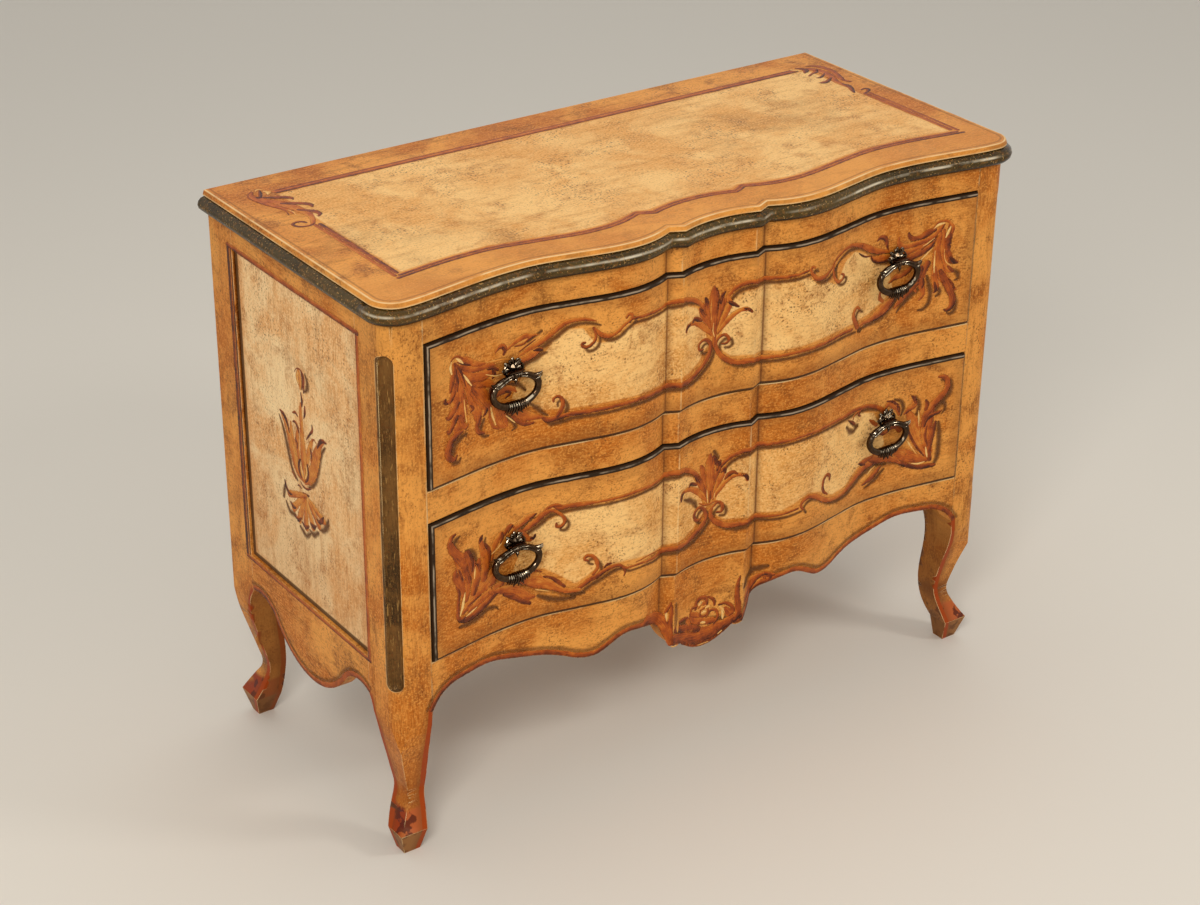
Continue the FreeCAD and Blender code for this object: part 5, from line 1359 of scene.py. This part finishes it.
def post_paint(name, side_edge, way):
    """Posts and legs: dark flute, red line down the inner edges, rubbed toe, painted shade on the inner
    faces, and a painted highlight and shade line along the inner edge by the drawers.
    """
    paint = Paint(name, ALONG_Z)
    t = paint.t
    normal = t.parts(t.normal())
    outward = t.times(normal[0], t.math("SIGN", paint.x))
    side_face = t.ramp(outward, 0.45, 0.7)
    front_face = t.ramp(t.times(normal[1], -1.0), 0.35, 0.6)
    paint.lay(colour(150, 78, 26), t.ramp(paint.cloud(9.0, 4, 0.6), 0.35, 0.7), 0.7,
              t.ramp(paint.z, 250.0, 60.0))
    paint.lay(colour(100, 54, 20), paint.broken(16.0, -0.05, 0.3),
              paint.band(paint.z, 96.0, 20.0, 26.0), 0.7)
    toe = t.ramp(t.plus(paint.z, paint.wobble(50.0, 5.0)), 74.0, 66.0)
    paint.lay(colour(146, 54, 18), toe, side_face)
    paint.lay(colour(178, 90, 46), toe, front_face)
    paint.lay(colour(76, 22, 14), paint.broken(46.0, 0.12, 0.2), toe, 0.85)
    sole = t.ramp(paint.z, SOLE_Z + 2.0, SOLE_Z)
    paint.lay(colour(150, 100, 52), sole)
    paint.lay(colour(110, 66, 30), paint.broken(60.0, 0.0, 0.25), sole)
    # Along the posts' inner edge by the drawers: a painted highlight on the left post and a painted
    # shade line in brown on the right, broken like rubbed paint.
    rubbed = t.times(paint.band(paint.away, POST_INNER_X + 1.2, 1.0), front_face,
                     t.ramp(paint.z, 318.0, 330.0), paint.broken(18.0, -0.3, 0.2))
    lit_left = t.ramp(paint.x, 10.0, -10.0)
    paint.lay(WORN_CREAM, rubbed, lit_left, 0.45)
    paint.lay(colour(104, 58, 22), rubbed, t.sloped(lit_left, -0.6, 0.6))
    shake = paint.wobble(40.0, 1.2)

    def lined_edge(from_edge, face, depth, shade_ends, line, line_ends):
        """A soft shade and a red line along an inner edge of the leg."""
        paint.lay(LEG_SHADE, t.ramp(from_edge, 24.0, 7.0), face, t.ramp(paint.z, *shade_ends), depth)
        paint.lay(LINE_RED, t.ramp(t.plus(from_edge, shake), *line), t.ramp(paint.z, *line_ends),
                  face)

    inner = t.curve(paint.z, (0.0, 280.0), (495.0, 525.0), FRONT_INNER_EDGE)
    lined_edge(t.minus(paint.away, inner), front_face, 0.5, (LEG_TOP_Z, 236.0), (9.6, 7.6),
               (256.0, 246.0))
    places = [place for _, place in side_edge]
    inner = t.curve(paint.z, (0.0, 280.0), (min(places) - 1, max(places) + 1), side_edge)
    lined_edge(t.times(t.minus(paint.y, inner), way), side_face, 0.4, (268.0, 240.0), (11.0, 8.6),
               (LEG_TOP_Z, 250.0))
    # Painted shade on the faces that turn inwards or backwards, below the top of the leg.
    inner_face_shade = t.most(t.ramp(outward, -0.4, -0.65), t.ramp(t.times(normal[1], -way), 0.45, 0.7))
    paint.lay(colour(108, 64, 28), inner_face_shade, t.ramp(paint.z, LEG_TOP_Z, 236.0), 0.62)
    scratches = t.noise(t.stretched(paint.place, (0.32, 0.32, 0.05)), 1.0, 4, 0.65)
    flute = t.over(paint.aged(FLUTE_BROWN, FLUTE_PALE, FLUTE_DEEP, 1.0)[0], colour(184, 140, 76),
                   t.ramp(scratches, 0.58, 0.68), 0.7)
    nearest_z = t.least(t.most(paint.z, FLUTE_ENDS[0]), FLUTE_ENDS[1])
    distance = t.length(t.minus(paint.away, FLUTE_AXIS[0]), t.minus(paint.y, FLUTE_AXIS[1]),
                        t.minus(paint.z, nearest_z))
    paint.lay(WORN_CREAM, t.ramp(distance, FLUTE_RADIUS + 1.2, FLUTE_RADIUS + 0.6),
              paint.broken(30.0, -0.2, 0.4), 0.7)
    paint.lay(flute, t.ramp(distance, FLUTE_RADIUS + 0.5, FLUTE_RADIUS))
    return paint.finish(reach=2.0, amount=0.3)


FIELD_LEFT, FIELD_RIGHT, FIELD_BACK = -484.0, 506.0, 187.0
FIELD_FRONT_INSET = 72.0
MITRE_SPREAD = 1.09
LIP_FOOT_Z = 892.0


def top_paint():
    """Cream field inside an ochre border that follows the edge, with a rubbed lip and painted shade on
    the edge under it.
    """
    paint = Paint("painted top", ALONG_X, specks=0.4)
    t = paint.t
    cream = paint.aged(CREAM, CREAM_PALE, colour(192, 128, 62), 0.9)[0]
    front = [(x * MITRE_SPREAD, CREST_Y + FIELD_FRONT_INSET + setback(x))
             for x in range(0, 500, 14)]
    line = t.curve(paint.away, (0.0, 540.0), (-180.0, -140.0), front + [(540.0, front[-1][1])])
    shake = paint.wobble(26.0, 2.6)
    x, y = t.plus(paint.x, shake), t.plus(paint.y, shake)
    behind = t.ramp(t.plus(t.minus(paint.y, line), shake), -1.0, 3.0)
    before = t.ramp(y, FIELD_BACK + 2.0, FIELD_BACK - 2.0)
    between = t.times(t.ramp(x, FIELD_LEFT - 2.0, FIELD_LEFT + 2.0),
                      t.ramp(x, FIELD_RIGHT + 2.0, FIELD_RIGHT - 2.0))
    paint.lay(OCHRE_PALE, t.ramp(paint.y, -140.0, -165.0), 0.45)
    paint.lay(cream, behind, before, between, t.ramp(paint.z, TOP_Z - 4.0, TOP_Z - 1.0))
    ahead = paint.ahead()
    above = t.ramp(paint.z, TOP_Z - 1.0, TOP_Z - 0.4)
    broken = paint.broken(20.0, -0.45, 0.05)
    face = t.ramp(ahead, 4.0, 5.6)
    paint.lay(colour(120, 68, 24), paint.band(ahead, -3.5, 1.6, 1.2), above, 0.5)
    paint.lay(WORN_CREAM, t.ramp(ahead, 1.4, 2.8), above, broken, 0.75)
    paint.lay(colour(124, 72, 26), face, paint.broken(24.0, -0.1, 0.4), 0.5)
    paint.lay(WORN_CREAM, face, paint.band(paint.z, LIP_FOOT_Z + 1.0, 1.0, 0.8), broken, 0.65)
    # Painted shade on the edge under the lip, above the moulding.
    paint.lay(colour(60, 34, 16), face, t.ramp(paint.z, LIP_FOOT_Z + 0.2, LIP_FOOT_Z - 0.6))
    return paint.finish(amount=0.0)


PANEL_LOW_Z, PANEL_HIGH_Z = 324.0, 825.0


def panel_paint():
    """Pale cream side panel, darker and warmer towards its foot, partly its own colour and partly
    painted shade, with ochre and painted shade along its frame.
    """
    paint = Paint("painted side panel", ALONG_Z, colour(236, 174, 108), colour(255, 222, 168),
                  colour(184, 120, 62), 1.0)
    t = paint.t
    # Darker and warmer towards the foot: partly the panel's own colour, partly painted shade.
    paint.lay(colour(184, 112, 46), t.ramp(paint.z, 620.0, 330.0), 0.3)
    paint.lay(OCHRE, t.most(t.ramp(paint.y, -128.0, -161.0),
                            t.ramp(paint.y, 165.0, POST_BACK_FRONT_Y)), 0.35)
    paint.lay(colour(128, 58, 16), t.ramp(paint.y, -154.0, -158.0), 0.6)
    # Painted shade in the rebate at the back, foot and head of the panel.
    rebate_shade = t.most(t.ramp(paint.y, 184.5, 187.5),
                    t.ramp(paint.z, PANEL_LOW_Z + 3.0, PANEL_LOW_Z),
                    t.ramp(paint.z, PANEL_HIGH_Z - 3.0, PANEL_HIGH_Z))
    paint.lay(colour(66, 40, 18), rebate_shade, 0.88)
    return paint.finish(amount=-0.2)


def bare_wood(name, stretch, pale, deep, board=None):
    """Old unpainted wood with growth rings and dust, as one piece or in boards of a width."""
    material, t, shader = new_material(name)
    pale, deep = colour(*pale), colour(*deep)
    place = t.place()
    along = t.stretched(place, [v / 2 if v < 10 else v for v in stretch])
    rings = t.math("FRACT", t.times(t.noise(along, 0.9, 3, 0.5, 1.6), 7.0))
    fibre = t.noise(along, 7.0, 4, 0.62)
    stain = t.noise(place, 4.0, 5, 0.62)
    wood = t.over(pale, deep, t.ramp(rings, 0.0, 0.7), t.ramp(rings, 1.0, 0.86), 0.6)
    wood = t.over(wood, deep, t.ramp(fibre, 0.46, 0.7), 0.5)
    wood = t.over(wood, colour(96, 68, 42), t.ramp(stain, 0.46, 0.72), 0.45)
    if board:
        height = t.math("FRACT", t.math("DIVIDE", t.parts(place)[2], board * MM))
        seam = t.most(t.ramp(height, 0.010, 0.004), t.ramp(height, 0.990, 0.996))
        wood = t.over(wood, colour(52, 34, 20), seam, 0.8)
    t.feed(shader, {"Base Color": wood, "Roughness": 0.72, "Normal": t.bump(0.2, 0.6, fibre)})
    return material


def metal(name, worn, dark, roughness, rubbed):
    """Cast metal, dark in its hollows, with a painted highlight on the crests that face up and forward.
    """
    material, t, shader = new_material(name)
    worn, lit = colour(*worn), colour(*[v * 1.35 for v in dark])
    place = t.place()
    cloud = t.noise(place, 160.0, 4, 0.6)
    edges = t.group(worn_edges, {"Color": t.over(colour(*dark), lit, t.ramp(cloud, 0.35, 0.7)),
                                 "Bare": worn, "Reach": 0.5 * MM, "Amount": 0.14})
    # Painted highlight on the crests that face up and towards the front.
    crest = t.dot(t.normal(), (-0.26, -0.74, 0.62))
    crest_highlight = t.times(t.ramp(crest, 0.90, 0.985),
                      t.times(t.ramp(t.noise(place, 110.0, 3), 0.40, 0.58), rubbed))
    t.feed(shader, {
        "Base Color": t.over(edges["Color"], worn, crest_highlight),
        "Metallic": 1.0,
        "Roughness": t.spread(cloud, 0.3, 0.7, roughness),
        "Normal": t.bump(0.12, 0.3, t.noise(place, 240.0, 3, 0.6))})
    return material


# The upper and the lower edge of the cream field of a drawer front, as (along, up) points.
UPPER_CREAM = (
    ((-520, 620), (-372, 622), (-352, 700), (-325, 745), (-300, 752), (-285, 772), (-262, 786),
     (-240, 784), (-224, 760), (-212, 756), (-190, 758), (-170, 772), (-110, 773), (-60, 774),
     (-36, 762), (-22, 744), (-16, 712), (-14, 700), (0, 690), (14, 705), (22, 745), (38, 766),
     (66, 771), (110, 769), (160, 769), (180, 750), (200, 750), (222, 738), (240, 770), (262, 780),
     (290, 766), (310, 746), (340, 735), (352, 690), (372, 622), (520, 620)),
    ((-520, 720), (-372, 718), (-352, 700), (-330, 684), (-300, 668), (-262, 662), (-100, 660),
     (-50, 662), (-30, 672), (-18, 690), (0, 700), (14, 682), (30, 668), (66, 664), (110, 658),
     (262, 660), (300, 664), (330, 676), (352, 692), (372, 718), (520, 720)))
LOWER_CREAM = (
    ((-520, 340), (-372, 342), (-352, 424), (-330, 470), (-300, 486), (-280, 492), (-240, 496),
     (-110, 496), (-60, 496), (-36, 484), (-22, 464), (-14, 430), (0, 420), (14, 430), (22, 470),
     (38, 488), (66, 496), (110, 497), (250, 496), (300, 495), (330, 486), (352, 440), (372, 342),
     (520, 340)),
    ((-520, 440), (-372, 438), (-352, 420), (-330, 416), (-300, 410), (-250, 372), (-215, 392),
     (-170, 392), (-110, 384), (-50, 386), (-30, 396), (-14, 410), (0, 430), (14, 404), (30, 392),
     (66, 387), (130, 382), (180, 398), (206, 392), (240, 374), (270, 376), (300, 398), (330, 408),
     (352, 420), (372, 438), (520, 440)))

post_front_paint = post_paint("painted front posts", SIDE_INNER_EDGE, -1)
post_back_paint = post_paint("painted back posts", BACK_INNER_EDGE, 1)
top_finish = top_paint()
panel_finish = panel_paint()
drawer_finish = {"upper": drawer_paint("upper", *UPPER_CREAM),
                 "lower": drawer_paint("lower", *LOWER_CREAM)}
pine_along_x = bare_wood("pine along the chest", ALONG_X, (196, 158, 108), (140, 98, 56))
pine_back = bare_wood("pine boards of the back", ALONG_X, (172, 132, 86), (118, 82, 48), 145.0)
pine_along_y = bare_wood("pine from front to back", ALONG_Y, (190, 150, 100), (134, 92, 52))
pine_upright = bare_wood("upright pine", ALONG_Z, (186, 146, 98), (128, 88, 50))
bronze = metal("dark bronze", (236, 216, 184), (60, 45, 32), (0.10, 0.22), 0.85)
iron = metal("old iron", (140, 134, 126), (58, 52, 46), (0.4, 0.6), 0.0)

# ---------------------------------------------------------------- the pieces of the case

LEVELS = ("upper", "lower")
SIDES = ((-1, "left"), (1, "right"))

for node, smooth_angle, bevel, paint, slot in (
        ("top_board", 24, 1.3, top_finish, "painted_top"),
        ("moulding_front", 50, 0.0, dark_moulding, "dark_moulding"),
        ("moulding_left", 50, 0.0, dark_moulding, "dark_moulding"),
        ("moulding_right", 50, 0.0, dark_moulding, "dark_moulding"),
        ("rail_front_top", 20, 0.6, ochre_along_x, "painted_frame"),
        ("rail_front_middle", 20, 0.6, ochre_along_x, "painted_frame"),
        ("apron_front", 24, 0.0, ochre_along_x, "painted_frame"),
        ("apron_side_left", 24, 0.0, ochre_along_y, "painted_frame"),
        ("apron_side_right", 24, 0.0, ochre_along_y, "painted_frame"),
        ("post_front_left", 32, 0.0, post_front_paint, "painted_frame"),
        ("post_front_right", 32, 0.0, post_front_paint, "painted_frame"),
        ("post_back_left", 32, 0.0, post_back_paint, "painted_frame"),
        ("post_back_right", 32, 0.0, post_back_paint, "painted_frame")):
    dress(finished_copy(node, "case", smooth_angle, bevel), paint, slot)

for level in LEVELS:
    drawer = level + "_drawer"
    dress(finished_copy(drawer + "_front", drawer, 30), drawer_finish[level], "painted_drawers")
    for part, wood in (("_side_left", pine_along_y), ("_side_right", pine_along_y),
                       ("_back", pine_along_x), ("_bottom", pine_along_x), ("_nuts", iron)):
        dress(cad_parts[drawer + part], wood)

for node, wood in (("rail_back_top", pine_along_x), ("rail_back_bottom", pine_along_x),
                   ("panel_back", pine_back), ("drawer_stops", pine_upright),
                   ("glue_blocks", pine_along_x)):
    dress(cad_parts[node], wood)
for _, side in SIDES:
    dress(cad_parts["rail_side_top_" + side], ochre_along_y)
    dress(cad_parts["panel_side_" + side], panel_finish)
    for part in ("runner_upper_", "runner_lower_", "guide_upper_", "guide_lower_", "kicker_"):
        dress(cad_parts[part + side], pine_along_y)

# ---------------------------------------------------------------- the drop handles
# Modelled once with the hinge at the origin, then copied to the four places on the drawers. The
# wires of the right half are (x, y, z, radius) stations.

OVAL_HALF_WIDTH = 37.8
OVAL_HALF_HEIGHT = 23.5
HINGE_COLLARS = ((4.9, 2.9, 1.2), (7.0, 3.7, 1.4), (9.2, 3.1, 1.2), (11.2, 2.6, 1.1))
GRIP_COLLARS = ((153, 5.3, 1.0), (159, 6.0, 1.4), (165, 6.0, 1.2), (170.5, 6.6, 1.5),
                (176.5, 6.9, 1.4))
SHOULDER_RIBBONS = (
    ((8, -3.2, 1.4, 1.0), (15, -3.8, 1.2, 1.8), (23, -4.0, -2.2, 1.9), (30, -4.0, -6.4, 1.8),
     (35, -4.4, -7.0, 1.6), (39, -4.8, -4.4, 1.4), (42, -4.8, -1.8, 0.5)),
    ((8, -3.8, -2.0, 1.0), (14, -4.6, -2.8, 1.7), (22, -5.0, -6.2, 1.8), (29, -5.0, -11.2, 1.7),
     (34, -5.0, -12.0, 1.6), (39, -5.0, -8.8, 1.3), (42.5, -4.8, -4.8, 0.5)),
    ((20, -1.0, -3.4, 3.6), (28, -1.6, -7.4, 4.4), (35, -2.2, -8.0, 3.0), (42, -3.4, -3.4, 0.9)))
SHOULDER_LEAF = ((62, 4.0, -2.6, 0.8), (72, 4.6, -3.6, 2.2), (84, 2.6, -4.4, 1.6),
                 (96, 0.6, -4.8, 0.4))
GRIP_SIDE_LEAF = ((3, -2.0, -52.0, 2.4), (7.5, -3.0, -55.0, 1.9), (9.5, -3.4, -59.0, 0.5))
GRIP_MIDDLE_LEAF = ((0, -2.6, -53.0, 2.6), (0, -3.2, -56.6, 2.0), (0, -3.6, -60.4, 0.5))
SHELL_LOBES = ((-84, 8.0), (-46, 9.4), (0, 9.8), (46, 9.4), (84, 8.0))
SHELL_RIB = ((3.0, 4.6, 0.6), (9.0, 4.2, 1.1), (15.0, 5.2, 1.2), (18.4, 6.6, 0.7))
SHELL_CURLS = (
    ((2.0, 6.0, 15.0, 1.0), (3.2, 4.6, 20.0, 1.7), (6.0, 3.4, 23.2, 1.8), (9.0, 3.0, 21.6, 1.5),
     (8.2, 3.0, 18.6, 1.0), (6.4, 3.2, 19.6, 0.8)),
    ((10.5, 5.0, 16.5, 0.9), (15.0, 4.6, 13.0, 1.6), (17.0, 4.6, 7.0, 1.8), (14.5, 4.8, 2.0, 1.8),
     (11.0, 4.6, 2.4, 1.4), (11.4, 4.6, 5.0, 0.9)),
    ((14.5, 6.4, 3.0, 1.2), (10.0, 6.6, -2.6, 2.0), (4.0, 7.0, -5.4, 2.2), (0, 7.2, -11.0, 0.7)))
SHELL_TIP = ((0, -0.6, -9.4, 1.5), (0, -0.6, -11.5, 1.1), (0, -0.6, -13.6, 0.4))
SHELL_HEART_Z = 5.6
BOLT_FROM_Y = 8.0


def oval(turn, out=0.0):
    """A point of the drop ring, by its turn in degrees from the hinge, or a distance outside."""
    across, down = math.sin(math.radians(turn)), math.cos(math.radians(turn))
    away = Vector((across / OVAL_HALF_WIDTH, down / OVAL_HALF_HEIGHT)).normalized() * out
    return (OVAL_HALF_WIDTH * across + away.x, OVAL_HALF_HEIGHT * (down - 1) + away.y)


def in_metres(place):
    return [v * MM for v in place]


def settled(size=(1.0, 1.0, 1.0)):
    """Stretches a new primitive and settles its place and turn in its mesh."""
    obj = bpy.context.object
    obj.scale = size
    bpy.ops.object.transform_apply(location=True, rotation=True, scale=True)
    return obj


def ball(place, size, turn=0.0):
    bpy.ops.mesh.primitive_uv_sphere_add(segments=20, ring_count=10, radius=MM,
                                         location=in_metres(place),
                                         rotation=(0, math.radians(turn), 0))
    return settled(size)


def collar(place, turn, major, minor):
    """A turned ring round a wire; at turn 90 its axis lies along the chest."""
    bpy.ops.mesh.primitive_torus_add(major_segments=20, minor_segments=8, major_radius=major * MM,
                                     minor_radius=minor * MM, location=in_metres(place),
                                     rotation=(0, math.radians(turn), 0))
    return settled()


def peg(vertices, radius, depth, place, size=(1.0, 1.0, 1.0)):
    """A cylinder whose axis runs from front to back."""
    bpy.ops.mesh.primitive_cylinder_add(vertices=vertices, radius=radius * MM, depth=depth * MM,
                                        location=in_metres(place), rotation=(math.radians(90), 0, 0))
    return settled(size)


def tapered_wire(stations, side=1, cyclic=False, sides=3, steps=4):
    """A cast wire through (x, y, z, radius) stations, or its mirror image on the left."""
    curve = bpy.data.curves.new("wire", "CURVE")
    curve.dimensions = "3D"
    curve.bevel_depth = 1.0
    curve.bevel_resolution = sides
    curve.use_fill_caps = not cyclic
    curve.resolution_u = steps
    spline = curve.splines.new("NURBS")
    spline.points.add(len(stations) - 1)
    for point, (x, y, z, radius) in zip(spline.points, stations):
        point.co = (side * x * MM, y * MM, z * MM, 1.0)
        point.radius = radius * MM
    spline.order_u = 4 if len(stations) > 3 else 3
    spline.use_cyclic_u = cyclic
    spline.use_endpoint_u = not cyclic
    choose(linked("wire", curve))
    bpy.ops.object.convert(target="MESH")
    obj = bpy.context.object
    merge_doubles(obj, 0.001)
    bpy.ops.mesh.normals_make_consistent(inside=False)
    bpy.ops.object.mode_set(mode="OBJECT")
    return obj


def joined(name, pieces, smooth_angle):
    deselect()
    for piece in pieces:
        piece.select_set(True)
    bpy.context.view_layer.objects.active = pieces[0]
    bpy.ops.object.join()
    obj = bpy.context.object
    obj.name = name
    smooth_by_angle(obj, smooth_angle)
    return obj


def drop_ring():
    """Oval ring with beaded collars, ribboned shoulders that end in horns, and a leafy grip."""
    wire = []
    for number in range(44):
        turn = 360 * number / 44
        from_top = min(turn, 360 - turn)
        radius = 2.7 + 2.4 * min(1.0, max(0.0, (from_top - 10) / 34)) + 1.1 * max(
            0.0, (from_top - 120) / 60)
        x, z = oval(turn)
        wire.append((x, 0.0, z, radius))
    pieces = [tapered_wire(wire, cyclic=True, sides=4, steps=3)]
    for side, _ in SIDES:
        pieces += [collar((side * x, 0, 0), 90, major, minor) for x, major, minor in HINGE_COLLARS]
        pieces += [tapered_wire(ribbon, side) for ribbon in SHOULDER_RIBBONS]
        pieces.append(tapered_wire([(x, y, z, radius) for turn, out, y, radius in SHOULDER_LEAF
                                    for x, z in [oval(turn, out)]], side))
        pieces.append(tapered_wire(GRIP_SIDE_LEAF, side))
        for turn, major, minor in GRIP_COLLARS:
            x, z = oval(side * turn)
            ahead, above = (b - a for a, b in zip(oval(side * turn - 0.5), oval(side * turn + 0.5)))
            pieces.append(collar((x, 0, z), math.degrees(math.atan2(ahead, above)), major, minor))
            pieces.append(tapered_wire([
                (x, -major, z + 1.5, 0.7), (x + side * 0.6, -major - 1.0, z - 2.5, 1.5),
                (x + side * 1.6, -major * 0.6, z - major - 0.6, 1.2),
                (x + side * 2.6, -major * 0.3, z - major - 3.2, 0.4)]))
    pieces.append(tapered_wire(GRIP_MIDDLE_LEAF))
    return joined("drop_ring", pieces, 40)


def shell_plate(bolt_end):
    """Five-lobed shell with a bar, curled horns, a faceted leaf, an eye for the ring and a bolt."""
    # A flat bar across the shell, from a little before the hinge back into the wood.
    bar = peg(32, 1.0, 31.2, (0, 9.3, 7.0), (13.0, 1.0, 1.0))
    apply_modifier(bar, "BEVEL", width=0.8 * MM, segments=2, limit_method="ANGLE")
    pieces = [bar]
    for turn, long in SHELL_LOBES:
        x, z = math.sin(math.radians(turn)), math.cos(math.radians(turn))
        pieces.append(ball((9.6 * x, 7.4, SHELL_HEART_Z + 9.6 * z), (4.0, 2.6, long), turn))
        pieces.append(tapered_wire([(out * x, y, SHELL_HEART_Z + out * z, radius)
                                    for out, y, radius in SHELL_RIB]))
    bpy.ops.mesh.primitive_cone_add(vertices=4, radius1=MM, radius2=0.0, depth=MM,
                                    location=in_metres((0, 3.4, 11.0)),
                                    rotation=(math.radians(90), 0, 0))
    pieces.append(settled((5.0, 7.0, 4.6)))
    pieces += [tapered_wire(curl, side) for side, _ in SIDES for curl in SHELL_CURLS]
    bolt = bolt_end - BOLT_FROM_Y
    pieces += [peg(20, 3.2, 9.0, (0, 4.5, 0)), peg(16, 2.5, bolt, (0, BOLT_FROM_Y + bolt / 2, 0)),
               ball((0, 0, 0), (3.7, 5.4, 5.4)), collar((-2.9, 0, 0), 90, 3.8, 0.9),
               collar((2.9, 0, 0), 90, 3.8, 0.9), ball((0, -0.6, -7.4), (2.8, 2.8, 3.2)),
               tapered_wire(SHELL_TIP)]
    return joined("shell_plate", pieces, 34)


def handed_out(pattern, node, body, place):
    """A copy of a pattern, moved to its place on the chest, which stands for a CAD node."""
    mesh = pattern.data.copy()
    mesh.transform(Matrix.Translation(in_metres(place)))
    obj = linked(node + "_cast", mesh)
    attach(obj, body)
    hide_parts(node)
    dress(obj, bronze, "bronze")


ring_pattern = drop_ring()
plate_pattern = shell_plate(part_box("upper_pull_post_left")[1][1] / MM - HINGE_Y)
for level in LEVELS:
    for way, side in SIDES:
        place = (way * HANDLE_X, HINGE_Y, HINGE_Z[level])
        bail = level + "_bail_" + side
        handed_out(ring_pattern, bail, bail + "_ring", place)
        handed_out(plate_pattern, level + "_pull_post_" + side, level + "_drawer", place)
for pattern in (ring_pattern, plate_pattern):
    bpy.data.objects.remove(pattern)

# ---------------------------------------------------------------- the painted ornament

for level, scrolls, leaves in (
        ("upper", UPPER_SCROLLS, UPPER_PALMETTE + UPPER_LEFT_SPRAY + UPPER_RIGHT_SPRAY),
        ("lower", LOWER_SCROLLS, LOWER_PALMETTE + LOWER_LEFT_SPRAY + LOWER_RIGHT_SPRAY)):
    painted(level + "_drawer_ornament", scrolls + fuller(leaves, 1.2), on_front(DRAWER_PROUD),
            level + "_drawer", "painted_drawers", CREASES)

# The sawn edges of the aprons, from a level point outwards; each stretch is an arc.
LOBE_MIDDLE = (225.0, 237.0)
LOBE_INNER = ((203.0, 243.0), (180.0, 256.0), (150.0, 261.7), (106.0, 252.0), (87.0, 232.0),
              (67.0, 199.5))
LOBE_OUTER = ((255.0, 243.5), (303.0, 259.0), (371.0, 275.3), (410.0, 280.0), (455.0, 277.0),
              (480.0, 268.5), (POST_INNER_X, 244.0))
SHELL_MIDDLE = (0.0, 172.5)
SHELL_EDGE = ((24.0, 178.2), (51.0, 197.7), (58.5, 196.0))
SIDE_MIDDLE = (176.0, 185.0)
SIDE_FRONT = ((121.0, 198.0), (70.0, 240.0), (47.0, 257.3), (0.0, 254.0))
SIDE_BACK = ((232.0, 198.0), (280.0, 236.0), (322.0, 259.5), (354.7, 254.0))
EDGE_GLAZE = (11.5, 4.0, THIN_GLAZE)

apron_lines = ()
for way in (1, -1):
    for edge in (sawn_edge(LOBE_MIDDLE, LOBE_INNER, LOBE_OUTER), arcs(SHELL_MIDDLE, 0, SHELL_EDGE)):
        line = [(way * x, z) for x, z in edge]
        apron_lines += (edge_line(line, *EDGE_GLAZE, way), edge_line(line, 4.6, 4.9, 0.37, way))
painted("apron_ornament", apron_lines + APRON_SHELL, on_front(), "case", "painted_frame", CREASES)

line = [(POST_FRONT_BACK_Y + y, z) for y, z in sawn_edge(SIDE_MIDDLE, SIDE_FRONT, SIDE_BACK)]
side_lines = (edge_line(line, *EDGE_GLAZE), edge_line(line, 4.8, 5.0, 0.37)) + SIDE_PANEL_BORDER
for way, side in SIDES:
    painted("side_lines_" + side, side_lines, on_side(way), "case", "painted_frame")
    painted("side_flower_" + side, SIDE_FLOWER, on_side(way, PANEL_SETBACK), "case",
            "painted_panels")


def top_front_line(inset, half, tone, left, right):
    """A line along the front of the top, from mitre to mitre."""
    places = [x * MITRE_SPREAD for x in (*range(-440, 461, 20), *CREASES)]
    return (tone, 0, *[(u, CREST_Y + inset + setback(u / MITRE_SPREAD), half)
                       for u in sorted([left, right, *places])])


painted("top_ornament", TOP_BORDER_LINES + (top_front_line(65.4, 3.2, 0.42, -491, 514),
                                            top_front_line(58.6, 3.4, 0.31, -498, 521))
        + TOP_LEFT_CORNER + TOP_RIGHT_CORNER, on_top, "case", "painted_top")
